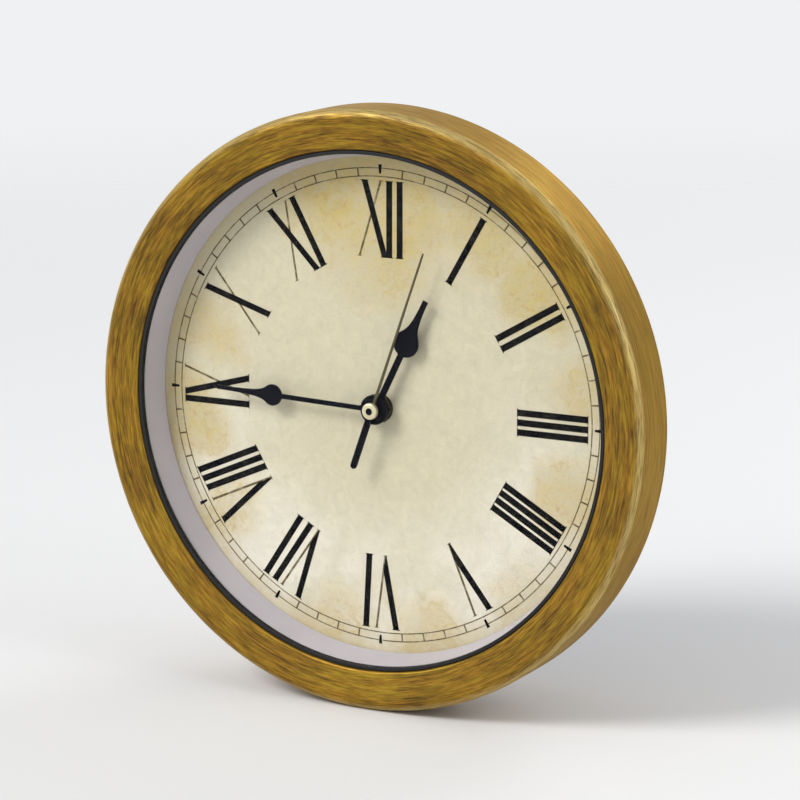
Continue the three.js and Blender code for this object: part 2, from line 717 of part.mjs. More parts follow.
const neckHole = half(movement.neck) + clearance.running;
const washerRear = dialDepth + half(clearance.seat);
const washerFront = washerRear + nut.washerThickness;
const nutRear = washerFront + half(clearance.seat);
const washer = ring(neckHole, half(nut.washer), washerRear, washerFront, facets.boss);
add(doorGroup, "movement_front", buildFrontShell(), materials.black);
add(doorGroup, "movement_cover", buildRearCover(), materials.black);
add(doorGroup, "dial_washer", washer, materials.rubber);
add(
  doorGroup,
  "movement_nut",
  forward(hexagon(nut.flats), nutRear, nutRear + nut.thickness).subtract(rod(neckHole, 0, clock.depth)),
  materials.brass,
);
const boardSpan = [boardRear, boardRear + board.thickness];
const boardSolid = block(span(boardPlace[0], board.width), boardSpan, span(boardPlace[1], board.tall));
add(doorGroup, "circuit_board", boardSolid, materials.board);
const crystalMesh = add(
  doorGroup,
  "crystal_can",
  upright(crystal.radius, -half(crystal.length), half(crystal.length), [0, 0], facets.pin),
  materials.steel,
);
const crystalDepth = boardRear - crystal.radius - clearance.seat;
crystalMesh.position.set(boardPlace[0] - bearing.radius, -crystalDepth, boardPlace[1]);

const statorRear = shellSplit - half(stator.thickness);
const statorSpan = [statorRear, statorRear + stator.thickness];
const barTop = bayHalf - clearance.running - half(stator.barWidth);
const barLeft = rotorPlace[0] - half(stator.armWidth);
const armFoot = rotorPlace[1] - half(stator.armWidth);
const arm = block([barLeft, barLeft + stator.armWidth], statorSpan, [armFoot, barTop]);
const bar = block([barLeft, barLeft + stator.barLength], statorSpan, [barTop - stator.barWidth, barTop]);
const rotorHole = rod(half(stator.hole), 0, clock.depth, rotorPlace);
const barMiddle = [half(statorSpan[0] + statorSpan[1]), barTop - half(stator.barWidth)];
const coilLeft = barLeft + stator.armWidth + clearance.seat;
const coilWay = block(
  [coilLeft - clearance.overrun, coilLeft + coil.length + clearance.overrun],
  span(barMiddle[0], stator.thickness + coil.gap),
  span(barMiddle[1], stator.barWidth + coil.gap),
);
add(doorGroup, "stator", arm.add(bar).subtract(rotorHole), materials.steel);
const winding = across(coil.radius, coilLeft, coilLeft + coil.length, barMiddle);
add(doorGroup, "drive_coil", winding.subtract(coilWay), materials.copper);

for (const [name, side] of [["contact_negative", -1], ["contact_positive", 1]]) {
  const outer = side * (bayHalf - clearance.running);
  const spanX = [outer, outer - side * contact.thickness].sort((a, b) => a - b);
  const plate = block(spanX, span(cellDepth, contact.tall), span(cellHeight, contact.width));
  add(doorGroup, name, plate, materials.steel);
}

// Battery, in its bay
const batteryGroup = new THREE.Group();
const cellEnd = half(cell.length + cell.nub);
const cellSolid = across(cellRadius, -cellEnd, cellEnd - cell.nub, [0, 0]);
const nubSolid = across(half(cell.nubDiameter), 0, cellEnd, [0, 0]);
add(batteryGroup, "battery", cellSolid.add(nubSolid), materials.cell);
batteryGroup.position.set(0, -cellDepth, cellHeight);

// Hands
function handShape({ length, stem, bulbAt, bulb, tip }) {
  const side = half(stem);
  const enter = Math.asin(side / bulb);
  const leave = half(Math.PI) * shoulderShare;
  const shape = new THREE.Shape();
  shape.moveTo(side, 0);
  shape.absarc(0, bulbAt, bulb, enter - half(Math.PI), leave, false);
  const [shoulderX, shoulderZ] = [bulb * Math.cos(leave), bulbAt + bulb * Math.sin(leave)];
  const waist = half(tip);
  const neck = shoulderZ + bulb;
  shape.bezierCurveTo(half(shoulderX), shoulderZ + half(bulb), waist, neck, waist, length);
  shape.lineTo(-waist, length);
  shape.bezierCurveTo(-waist, neck, -half(shoulderX), shoulderZ + half(bulb), -shoulderX, shoulderZ);
  shape.absarc(0, bulbAt, bulb, Math.PI - leave, 1.5 * Math.PI - enter, false);
  shape.lineTo(-side, 0);
  return shape;
}

const hourRear = dialDepth + hands.hourLift;
const minuteRear = dialDepth + hands.minuteLift;
const secondRear = dialDepth + hands.secondLift;
const hourFront = hourRear + hands.thickness;
const minuteFront = minuteRear + hands.thickness;
const secondFront = secondRear + hands.thickness;

function turnedGroup(angle, [x, z] = [0, 0]) {
  const group = new THREE.Group();
  group.position.set(x, 0, z);
  group.rotation.y = (angle * Math.PI) / 180;
  return group;
}

const hourGroup = turnedGroup(hourHand.angle);
const hourPlate = forward(handShape(hourHand), hourRear, hourFront).add(
  rod(hourHand.boss, hourRear, hourFront),
);
const hourTubeHole = half(hourTube.outer) + clearance.running;
add(hourGroup, "hour_hand", hourPlate.subtract(rod(hourTubeHole, 0, clock.depth)), materials.black);

const worksFront = frontFloor - bearing.rise - clearance.seat;
const hourWheelRear = worksFront - works.face;
const motionWheelRear = hourWheelRear - 2 * works.face;
const motionWheelFront = motionWheelRear + works.face;
const cannonRear = motionWheelRear - half(works.face);
const cannonFront = motionWheelFront + half(works.face);
const degrees = Math.PI / 180;
const up = half(Math.PI);

// Each group is turned with its hand, so the wheels' marks are turned back to stay in mesh
const hourMark = up + hourHand.angle * degrees;
const hourWheel = gear(works.hour, works.module, hourMark, true, hourWheelRear, worksFront);
const hourPipe = rod(half(hourTube.outer), hourWheelRear, hourFront);
const hourBore = rod(half(hourTube.inner), 0, clock.depth);
add(hourGroup, "hour_wheel", hourWheel.add(hourPipe).subtract(hourBore), materials.nylon);

const minuteGroup = turnedGroup(minuteHand.angle);
const minutePlate = forward(handShape(minuteHand), minuteRear, minuteFront).add(
  rod(minuteHand.boss, minuteRear, minuteFront, [0, 0], 2 * facets.boss),
);
const minuteTubeHole = half(minuteTube.outer) + clearance.running;
add(minuteGroup, "minute_hand", minutePlate.subtract(rod(minuteTubeHole, 0, clock.depth)), materials.black);
const minuteMark = up + minuteHand.angle * degrees;
const cannonWheel = gear(works.cannon, works.module, minuteMark, false, cannonRear, cannonFront);
const minutePipe = rod(half(minuteTube.outer), cannonRear, minuteFront);
const minuteBore = rod(half(minuteTube.inner), 0, clock.depth);
add(minuteGroup, "cannon_pinion", cannonWheel.add(minutePipe).subtract(minuteBore), materials.brass);

const secondGroup = turnedGroup(secondHand.angle);
function secondShape() {
  const shape = new THREE.Shape();
  const tail = half(secondHand.tailWidth);
  shape.moveTo(half(secondHand.root), 0);
  shape.lineTo(half(secondHand.tip), secondHand.length);
  shape.lineTo(-half(secondHand.tip), secondHand.length);
  shape.lineTo(-half(secondHand.root), 0);
  shape.lineTo(-tail, 0);
  shape.lineTo(-tail, tail - secondHand.tail);
  shape.absarc(0, tail - secondHand.tail, tail, Math.PI, 2 * Math.PI, false);
  shape.lineTo(tail, 0);
  return shape;
}
const secondPlate = forward(secondShape(), secondRear, secondFront).add(
  rod(secondHand.boss, secondRear, secondFront),
);
const arborHole = rod(bearing.pin + clearance.running, 0, clock.depth, [0, 0], facets.pin);
add(secondGroup, "second_hand", secondPlate.subtract(arborHole), materials.grey);
const hubRear = secondFront + half(clearance.seat);
const hubFront = hubRear + hub.height;
const arborBore = bearing.pin + clearance.running;
const arborFront = hubFront - 2 * hub.dimpleDepth;
const hubCap = turned(
  [
    [arborBore, hubRear],
    [hub.radius, hubRear],
    [hub.radius, hubFront - hub.dome],
    [hub.radius - hub.dome, hubFront],
    [hub.dimple, hubFront],
    [hub.dimple, hubFront - hub.dimpleDepth],
    [0, hubFront - hub.dimpleDepth],
    [0, arborFront],
    [arborBore, arborFront],
  ],
  facets.boss,
);
add(secondGroup, "hub_cap", hubCap, materials.brass);

const stepRear = rearFloor + bearing.rise + clearance.seat;
const stepFront = stepRear + train.face;
const secondWheelRear = stepFront + train.face;
const secondWheelFront = secondWheelRear + train.face;
const secondMark = trainAngle + secondHand.angle * degrees;
const arborRear = rearFloor + clearance.seat;
const secondWheel = union([
  gear(trainPair.second, trainPair.module, secondMark, false, secondWheelRear, secondWheelFront),
  rod(bearing.pin, arborRear, arborFront - clearance.seat, [0, 0], facets.pin),
]);
add(secondGroup, "second_wheel", secondWheel, materials.nylon);

// The wheels that turn off the clock's axis
const knobFront = shellRear - knob.proud;
const knobShaftRear = knobFront - half(knob.thickness);
const motionGroup = turnedGroup(0, motionPlace);
const motionWheel = union([
  gear(works.motion, works.module, -up, true, motionWheelRear, motionWheelFront),
  gear(works.motionPinion, works.module, -up, false, motionWheelFront, worksFront),
  rod(knob.shaft, knobShaftRear, frontFloor - bearing.pin, [0, 0], facets.pin),
]);
add(motionGroup, "motion_wheel", motionWheel, materials.nylon);
const knobFlutes = Array.from({ length: knob.flutes }, (_, i) => {
  const place = around(half(knob.diameter), (i * 2 * Math.PI) / knob.flutes);
  return rod(knob.flute, 0, clock.depth, place, facets.curve);
});
const knobBore = knob.shaft + clearance.running;
const knobSolid = without(rod(half(knob.diameter), knobFront - knob.thickness, knobFront), [
  ...knobFlutes,
  rod(knobBore, knobShaftRear - clearance.seat, clock.depth, [0, 0], facets.pin),
]);
add(motionGroup, "set_knob", knobSolid, materials.nylon);

const stepGroup = turnedGroup(0, stepPlace);
const trainBack = trainAngle + Math.PI;
const stepPinionFront = secondWheelFront + clearance.seat;
const stepWheel = union([
  gear(train.step, train.module, trainAngle, true, stepRear, stepFront),
  gear(trainPair.stepPinion, trainPair.module, trainBack, true, stepFront, stepPinionFront),
  rod(bearing.pin, arborRear, frontFloor - bearing.pin, [0, 0], facets.pin),
]);
add(stepGroup, "step_wheel", stepWheel, materials.nylon);

const rotorGroup = turnedGroup(0, rotorPlace);
const pinionSpan = [stepRear - half(clearance.seat), stepFront + clearance.seat];
const rotorSolid = union([
  gear(train.rotor, train.module, trainBack, false, ...pinionSpan),
  rod(magnet.radius, barMiddle[0] - half(magnet.length), barMiddle[0] + half(magnet.length)),
  rod(bearing.pin, arborRear, frontFloor - bearing.pin, [0, 0], facets.pin),
]);
add(rotorGroup, "rotor", rotorSolid, materials.grey);

const diversionSafe = new THREE.Group();
diversionSafe.add(caseGroup, doorGroup);
doorGroup.add(batteryGroup, hourGroup, minuteGroup, secondGroup, motionGroup, stepGroup, rotorGroup);

export default diversionSafe;
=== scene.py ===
"""A round wall clock whose dial is the door of a hollow case, dressed piece by piece."""
import math

import bpy
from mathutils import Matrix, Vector


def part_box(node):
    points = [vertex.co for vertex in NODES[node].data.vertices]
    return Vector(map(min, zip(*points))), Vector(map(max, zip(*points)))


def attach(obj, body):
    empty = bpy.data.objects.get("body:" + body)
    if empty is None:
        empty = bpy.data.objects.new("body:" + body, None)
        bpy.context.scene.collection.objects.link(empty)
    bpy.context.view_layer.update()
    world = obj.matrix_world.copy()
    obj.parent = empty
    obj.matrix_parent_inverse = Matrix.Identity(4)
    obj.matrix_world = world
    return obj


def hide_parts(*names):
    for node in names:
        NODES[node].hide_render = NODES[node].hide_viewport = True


bl_info = {
    "name": "Clock Diversion Safe",
    "version": (1, 0, 0),
    "blender": (4, 5, 0),
    "location": "View3D > Sidebar > Clock Safe",
    "description": "Models a hollow wall clock with a hinged dial door, piece by piece",
    "category": "Add Mesh",
}

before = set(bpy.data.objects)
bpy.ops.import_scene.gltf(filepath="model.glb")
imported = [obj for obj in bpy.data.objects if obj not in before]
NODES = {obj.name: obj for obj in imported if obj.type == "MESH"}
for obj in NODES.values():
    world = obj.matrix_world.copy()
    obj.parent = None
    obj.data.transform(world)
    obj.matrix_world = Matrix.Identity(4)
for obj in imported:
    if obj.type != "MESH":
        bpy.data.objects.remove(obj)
RIM_LOW, RIM_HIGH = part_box("bezel")
DIAL_LOW, DIAL_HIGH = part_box("dial")

MM = 0.001
QUARTER = math.pi / 2
SAME_PLACE = 0.000001  # in metres: corners nearer than this are merged
FLAT = math.radians(0.5)  # faces that meet at less than this are made one
SHARP = math.radians(32)  # edges of a CAD mesh that turn more than this are rounded
ROOM = 2.2  # widths of a round that have to be free beside its edge
WEIGHTS = "bevel_weight_edge"


# Sizes, colours and studio


def number(name, description, default, **kind):
    return bpy.props.FloatProperty(name=name, description=description, default=default, **kind)


def length(name, description, default):
    return number(name, description, default, unit="LENGTH")


def colour(name, description, default):
    return bpy.props.FloatVectorProperty(
        name=name, description=description, default=default, size=3, subtype="COLOR", min=0, max=1
    )


class ClockSizes(bpy.types.PropertyGroup):
    rim_radius: length("Rim Radius", "Outside radius of the door's gold rim", RIM_HIGH.x)
    rim_front: length("Rim Front", "How far the rim stands out from the wall", -RIM_LOW.y)
    rim_round: length("Rim Round", "Radius of the round on the rim's outer front edge", 0.0042)
    opening_radius: length("Opening Radius", "Radius of the hole in the rim", 0.1083)
    dial_radius: length("Dial Radius", "Radius of the printed dial", DIAL_HIGH.x)
    dial_front: length("Dial Front", "How far the dial stands out from the wall", -DIAL_LOW.y)
    track_outer: length("Track Outer", "Radius of the minute track's outer line", 0.0993)
    track_inner: length("Track Inner", "Radius of the minute track's inner line", 0.0959)
    numeral_outer: length("Numeral Outer", "Radius that the numerals' tops reach", 0.0942)
    numeral_inner: length("Numeral Inner", "Radius that the numerals' feet reach", 0.0626)
    thick_stroke: length("Thick Stroke", "Width of a numeral's thick strokes", 0.0027)
    thin_stroke: length("Thin Stroke", "Width of a numeral's thin strokes", 0.00095)
    ink_height: length("Ink Height", "How far the print stands on the dial", 0.00008)
    edge_round: length("Edge Round", "Round on the edges of case and door back", 0.00035)
    rim_steps: bpy.props.IntProperty(
        name="Rim Steps", description="Faces round the large turned pieces", default=240, min=24
    )


class ClockColours(bpy.types.PropertyGroup):
    gold_light: colour("Light Gold", "Light streaks of the gold rim", (0.40, 0.245, 0.030))
    gold_mid: colour("Gold", "Main colour of the gold rim", (0.255, 0.142, 0.019))
    gold_dark: colour("Dark Gold", "Dark streaks of the gold rim", (0.095, 0.052, 0.014))
    # A painted highlight along the rim's outer front edge
    gold_edge_highlight: colour("Edge Highlight Gold", "Painted highlight on the rim's outer edge", (0.62, 0.49, 0.21))
    band_gold: colour("Band Gold", "The gold band round the case", (0.42, 0.26, 0.08))
    paper: colour("Parchment", "Middle of the dial", (0.640, 0.582, 0.418))
    paper_tan: colour("Tan Blotches", "Stains on the dial", (0.560, 0.435, 0.168))
    paper_edge: colour("Dial Edge", "Rim of the dial", (0.540, 0.430, 0.220))
    paper_pale: colour("Pale Patches", "Pale patches, more towards the bottom of the dial", (0.820, 0.765, 0.650))
    ink: colour("Ink", "Thick strokes of the numerals", (0.0025, 0.0025, 0.0035))
    faded_ink: colour("Faded Ink", "Thin strokes and the minute track", (0.120, 0.088, 0.034))
    hand_black: colour("Hand Black", "The hour and minute hands", (0.0022, 0.0025, 0.006))
    reflector: colour("Reflector", "Sloped ring between glass and dial", (0.520, 0.480, 0.520))
    black: colour("Black Plastic", "Door back, hinge and movement", (0.0085, 0.0080, 0.0125))
    slate: colour("Slate Plastic", "Inside of the case", (0.072, 0.066, 0.092))
    floor: colour("Floor", "Pale studio floor", (0.80, 0.80, 0.80))


class ClockStudio(bpy.types.PropertyGroup):
    azimuth: number("Azimuth", "Camera's turn round the clock", math.radians(28), subtype="ANGLE")
    elevation: number("Elevation", "Camera's height", math.radians(11.7), subtype="ANGLE")
    distance: length("Distance", "From the camera to the middle of the clock", 1.37)
    focal_length: number("Focal Length", "Camera lens", 148, subtype="DISTANCE_CAMERA")
    key_strength: number("Key Strength", "Strength of the main lamp", 1.3)
    fill_power: number("Fill Power", "Power of the soft lamps", 9.0, subtype="POWER")
    sky: number("Sky", "Strength of the light from all round", 0.5)


# Modelling: places and sizes are in mm, and depths run forward from the wall


def deselect():
    if bpy.context.object and bpy.context.object.mode != "OBJECT":
        bpy.ops.object.mode_set(mode="OBJECT")
    bpy.ops.object.select_all(action="DESELECT")


def pick(piece, *others):
    deselect()
    for one in (piece, *others):
        one.select_set(True)
    bpy.context.view_layer.objects.active = piece


def opened(piece, kind="VERT", action="SELECT"):
    """Puts a piece in edit mode with all of its corners, edges or faces selected, or none."""
    pick(piece)
    bpy.ops.object.mode_set(mode="EDIT")
    bpy.ops.mesh.select_mode(type=kind)
    bpy.ops.mesh.select_all(action=action)
    return piece


def added(name):
    """The primitive just added, named, with its place moved into its mesh."""
    piece = bpy.context.object
    piece.name = piece.data.name = name
    bpy.ops.object.transform_apply(location=True, rotation=True, scale=True)
    return piece


def placed(piece, place=(0, 0, 0), turn=(0, 0, 0)):
    """Turns a piece about the origin, moves it, and puts that into its mesh."""
    pick(piece)
    piece.rotation_euler = turn
    piece.location = [value * MM for value in place]
    bpy.ops.object.transform_apply(location=True, rotation=True, scale=True)
    return piece


def copied(piece, name, place=(0, 0, 0), turn=(0, 0, 0)):
    pick(piece)
    bpy.ops.object.duplicate(linked=False)
    twin = bpy.context.object
    twin.name = twin.data.name = name
    return placed(twin, place, turn)


def joined(name, parts):
    pick(*parts)
    bpy.ops.object.join()
    parts[0].name = parts[0].data.name = name
    return parts[0]


def facing_out(piece):
    opened(piece)
    bpy.ops.mesh.remove_doubles(threshold=SAME_PLACE)
    bpy.ops.mesh.normals_make_consistent(inside=False)
    bpy.ops.object.mode_set(mode="OBJECT")
    return piece


def arc(centre, radius, start, end, steps):
    """Points on a round, from start to end in degrees, where 0 is the first axis."""
    angles = [math.radians(start + (end - start) * i / steps) for i in range(steps + 1)]
    return [
        (centre[0] + radius * math.cos(angle), centre[1] + radius * math.sin(angle))
        for angle in angles
    ]


def turned(name, outline, steps, hollow=True):
    """Turns an outline of (radius, depth) points about the clock's axis, ring by ring.

    A hollow outline closes on itself; a full one is closed by flat ends.
    """
    deselect()
    radius, depth = outline[0]
    bpy.ops.mesh.primitive_circle_add(
        vertices=steps,
        radius=radius * MM,
        fill_type="NOTHING" if hollow else "NGON",
        location=(0, -depth * MM, 0),
        rotation=(QUARTER, 0, 0),
    )
    piece = opened(added(name))
    for next_radius, next_depth in [*outline[1:], *(outline[:1] if hollow else [])]:
        bpy.ops.mesh.extrude_region_move(
            TRANSFORM_OT_translate={"value": (0, (depth - next_depth) * MM, 0)}
        )
        ratio = next_radius / radius
        bpy.ops.transform.resize(value=(ratio, 1, ratio), center_override=(0, 0, 0))
        radius, depth = next_radius, next_depth
    return facing_out(piece)


def rod(radius, rear, front, steps=32):
    return turned("rod", [(radius, rear), (radius, front)], steps, hollow=False)


def block(name, x, depth, z):
    """A box from its spans."""
    deselect()
    bpy.ops.mesh.primitive_cube_add(
        size=MM,
        location=[sum(x) * MM / 2, -sum(depth) * MM / 2, sum(z) * MM / 2],
        scale=(x[1] - x[0], depth[1] - depth[0], z[1] - z[0]),
    )
    return added(name)


def plate(name, steps, depth):
    """A flat plate that runs up Z through its (height, left, right) steps."""
    low, left, right = steps[0]
    height = steps[1][0]
    made = opened(block(name, (left, right), depth, (low, height)), "FACE", "DESELECT")
    bpy.ops.object.mode_set(mode="OBJECT")
    for face in made.data.polygons:
        face.select = face.normal.z > 0.9
    bpy.ops.object.mode_set(mode="EDIT")
    for next_height, next_left, next_right in steps[1:]:
        if next_height != height:
            bpy.ops.mesh.extrude_region_move(
                TRANSFORM_OT_translate={"value": (0, 0, (next_height - height) * MM)}
            )
        middle = (left + right) / 2
        bpy.ops.transform.resize(
            value=((next_right - next_left) / (right - left), 1, 1),
            center_override=(middle * MM, 0, 0),
        )
        shift = (next_left + next_right) / 2 - middle
        bpy.ops.transform.translate(value=(shift * MM, 0, 0))
        height, left, right = next_height, next_left, next_right
    return facing_out(made)


def tapered(name, widths, depth):
    """A plate along Z that is the same on both sides, from its (height, half width) steps."""
    return plate(name, [(height, -half, half) for height, half in widths], depth)


def applied(piece, kind, **settings):
    pick(piece)
    bpy.ops.object.modifier_add(type=kind)
    modifier = piece.modifiers[-1]
    for key, value in settings.items():
        setattr(modifier, key, value)
    bpy.ops.object.modifier_apply(modifier=modifier.name)
    return piece


def rounded(piece, width, segments=2, **settings):
    return applied(
        piece, "BEVEL", width=width * MM, segments=segments, use_clamp_overlap=True, **settings
    )


def edged(piece, width):
    """Rounds the edges of a flat hand, and leaves the shallow corners of its outline."""
    corner = math.radians(50)
    return rounded(
        piece, width, limit_method="ANGLE", angle_limit=corner, miter_outer="MITER_ARC"
    )


def cut(piece, *cutters):
    for cutter in cutters:
        applied(piece, "BOOLEAN", operation="DIFFERENCE", solver="EXACT", object=cutter)
        bpy.data.objects.remove(cutter)
    return piece


def weigh_edges(piece, reach):
    """Gives full bevel weight to the sharp edges that have no other corner of their faces near."""
    opened(piece, "EDGE", "DESELECT")
    bpy.ops.mesh.edges_select_sharp(sharpness=SHARP)
    bpy.ops.object.mode_set(mode="OBJECT")
    mesh = piece.data
    roomy = {edge.key for edge in mesh.edges if edge.select}
    places = [corner.co.copy() for corner in mesh.vertices]
    for face in mesh.polygons:
        for key in roomy.intersection(face.edge_keys):
            start = places[key[0]]
            along = places[key[1]] - start
            for other in set(face.vertices).difference(key):
                share = (places[other] - start).dot(along) / along.length_squared
                gap = places[other] - start - min(1.0, max(0.0, share)) * along
                straight_on = abs(gap.dot(along)) > 0.8 * gap.length * along.length
                if gap.length < reach and not straight_on:
                    roomy.discard(key)
                    break
    weights = mesh.attributes.new(WEIGHTS, "FLOAT", "EDGE")
    for edge, weight in zip(mesh.edges, weights.data):
        weight.value = float(edge.key in roomy)


def refined(node, name, width, segments=2):
    """A copy of a CAD node's mesh, with its flat faces made whole and its edges rounded."""
    piece = bpy.data.objects.new(name, NODES[node].data.copy())
    piece.data.name = name
    piece.data.materials.clear()
    bpy.context.scene.collection.objects.link(piece)
    opened(piece)
    bpy.ops.mesh.remove_doubles(threshold=SAME_PLACE)
    bpy.ops.mesh.dissolve_limited(angle_limit=FLAT)
    bpy.ops.object.mode_set(mode="OBJECT")
    if piece.data.has_custom_normals:
        bpy.ops.mesh.customdata_custom_splitnormals_clear()
    weigh_edges(piece, ROOM * width * MM)
    rounded(piece, width, segments, limit_method="WEIGHT")
    piece.data.attributes.remove(piece.data.attributes[WEIGHTS])
    return piece


def painted(piece, *finishes, second=None):
    """Gives a piece its finishes. The second one goes where all of a face's corners pass a test.

    The test takes a corner's distance from the clock's axis, its depth and its height.
    """
    piece.data.materials.clear()
    for name in finishes:
        piece.data.materials.append(finish(name))
    if second:
        corners = [
            (math.hypot(corner.co.x, corner.co.z) / MM, -corner.co.y / MM, corner.co.z / MM)
            for corner in piece.data.vertices
        ]
        for face in piece.data.polygons:
            face.material_index = int(all(second(*corners[i]) for i in face.vertices))
    return piece


def shown(piece, body, slot, *nodes, angle=30):
    """Smooths a finished piece, ties it to its body and hides its CAD nodes; slot is not used."""
    pick(piece)
    bpy.ops.object.shade_smooth_by_angle(angle=math.radians(angle))
    applied(piece, "WEIGHTED_NORMAL", keep_sharp=True)
    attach(piece, body)
    if nodes:
        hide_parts(*nodes)
    deselect()


def refitted(node, name, width, finish_name, body, slot, segments=2):
    """Puts a refined copy in a CAD node's place."""
    shown(painted(refined(node, name, width, segments), finish_name), body, slot, node)


# Materials


def fill(tree, node, inputs):
    """Fills a node's inputs. Each takes a value, or a socket to link."""
    for key, value in inputs.items():
        if isinstance(value, bpy.types.NodeSocket):
            tree.links.new(value, node.inputs[key])
        else:
            node.inputs[key].default_value = value


def put(tree, kind, inputs, **settings):
    """Adds a node with its settings and inputs, and gives its outputs."""
    made = tree.nodes.new(kind)
    for key, value in settings.items():
        setattr(made, key, value)
    fill(tree, made, inputs)
    return made.outputs


def maths(tree, operation, first, second=0.0, third=0.0, clamp=False):
    inputs = {0: first, 1: second, 2: third}
    return put(tree, "ShaderNodeMath", inputs, operation=operation, use_clamp=clamp)[0]


def product(tree, first, *others):
    for other in others:
        first = maths(tree, "MULTIPLY", first, other)
    return first


def scaled(tree, value, factor, offset):
    return maths(tree, "MULTIPLY_ADD", value, factor, offset)


def gap_from(tree, value, middle):
    return maths(tree, "ABSOLUTE", maths(tree, "SUBTRACT", value, middle))


def vectors(tree, operation, *inputs, output="Vector"):
    given = dict(enumerate(inputs))
    return put(tree, "ShaderNodeVectorMath", given, operation=operation)[output]


def blended(tree, factor, first, second, kind="MIX"):
    inputs = {0: factor, 6: first, 7: second}
    return put(tree, "ShaderNodeMix", inputs, data_type="RGBA", blend_type=kind)[2]


def mapped(tree, value, low, high, to_low=0.0, to_high=1.0):
    inputs = {0: value, 1: low, 2: high, 3: to_low, 4: to_high}
    return put(tree, "ShaderNodeMapRange", inputs, interpolation_type="SMOOTHSTEP")[0]


def noise(tree, vector, scale, detail=3.0, roughness=0.5, distortion=0.0, output=0, **fourth):
    """A noise pattern, or a 4D one if it is also given W."""
    inputs = {"Vector": vector, "Scale": scale, "Detail": detail, "Roughness": roughness}
    inputs.update(fourth, Distortion=distortion)
    dimensions = "4D" if fourth else "3D"
    return put(tree, "ShaderNodeTexNoise", inputs, noise_dimensions=dimensions)[output]


def place_of(tree):
    return put(tree, "ShaderNodeTexCoord", {})["Object"]


def polar(tree):
    """A point's X, Y and Z, its way out from the clock's axis, and its distance from it."""
    parts = put(tree, "ShaderNodeSeparateXYZ", {0: place_of(tree)})
    outward = put(tree, "ShaderNodeCombineXYZ", {0: parts[0], 1: 0.0, 2: parts[2]})[0]
    return parts, outward, vectors(tree, "LENGTH", outward, output="Value")


def opaque(value):
    return (*value, 1.0)


def spaced(inputs):
    return {key.replace("_", " "): value for key, value in inputs.items()}


def turned_streaks(tree, given):
    """Streaks that run round the clock's axis, long round it and short across it."""
    parts, outward, radius = polar(tree)
    way = {0: vectors(tree, "NORMALIZE", outward), "Scale": given["Around"]}
    around = put(tree, "ShaderNodeVectorMath", way, operation="SCALE")[0]
    around = put(tree, "ShaderNodeSeparateXYZ", {0: around})
    across = product(tree, radius, given["Across"])
    vector = put(tree, "ShaderNodeCombineXYZ", {0: around[0], 1: across, 2: around[2]})[0]
    along = product(tree, parts[1], given["Across"])
    return {"Mask": noise(tree, vector, 1.0, given["Detail"], 0.55, given["Waver"], W=along)}


def moulded_grain(tree, given):
    """The fine texture and slow sheen changes of moulded plastic."""
    place = place_of(tree)
    return {
        "Height": noise(tree, place, given["Grain Size"], 2.0),
        "Sheen": noise(tree, place, given["Patch Size"], 3.0),
    }


def handling_marks(tree, given):
    """Soft smears, as a mask."""
    smears = noise(tree, place_of(tree), given["Smear Size"], 5.0, 0.6, 0.8)
    return {"Smears": mapped(tree, smears, 0.45, 0.75)}


def paper_mottle(tree, given):
    """Blotches, stains and fibres of aged paper."""
    place = place_of(tree)
    return {
        "Blotches": noise(tree, place, given["Blotch Size"], 4.0, 0.55, 0.6),
        "Stains": noise(tree, place, given["Stain Size"], 6.0, 0.62, 1.2),
        "Fibres": noise(tree, place, given["Fibre Size"], 3.0, 0.7),
    }


EFFECTS = {}


def use(tree, effect, **inputs):
    """Places a shared effect in a material. Its node group is built when it is first used."""
    inputs = spaced(inputs)
    if effect not in EFFECTS:
        name = effect.__name__.replace("_", " ").title()
        group = bpy.data.node_groups.new(name, "ShaderNodeTree")
        for label, value in inputs.items():
            socket = group.interface.new_socket(
                label, in_out="INPUT", socket_type="NodeSocketFloat"
            )
            socket.default_value = value
        made = effect(group, group.nodes.new("NodeGroupInput").outputs)
        for label in made:
            group.interface.new_socket(label, in_out="OUTPUT", socket_type="NodeSocketFloat")
        fill(group, group.nodes.new("NodeGroupOutput"), made)
        EFFECTS[effect] = group
    return put(tree, "ShaderNodeGroup", inputs, node_tree=EFFECTS[effect])


def fed(made, **inputs):
    """Fills the inputs of a material's Principled shader."""
    tree = made.node_tree
    fill(tree, tree.nodes["Principled BSDF"], spaced(inputs))
    return made


def material(name, **values):
    """A new material, and its tree, with a Principled shader whose plain inputs have values."""
    made = bpy.data.materials.new(name)
    made.use_nodes = True
    return fed(made, **values), made.node_tree


def surfaced(made, tint, rough, height, strength, depth):
    """Feeds a material's colour, its roughness, and its bumps, whose depth is in mm."""
    inputs = {"Height": height, "Strength": strength, "Distance": depth * MM}
    bumps = put(made.node_tree, "ShaderNodeBump", inputs)[0]
    return fed(made, Base_Color=tint, Roughness=rough, Normal=bumps)


def ramp(tree, factor, stops):
    made = tree.nodes.new("ShaderNodeValToRGB")
    fill(tree, made, {0: factor})
    elements = made.color_ramp.elements
    while len(elements) < len(stops):
        elements.new(0.5)
    for element, (position, value) in zip(elements, stops):
        element.position = position
        element.color = opaque(value)
    return made.outputs[0]


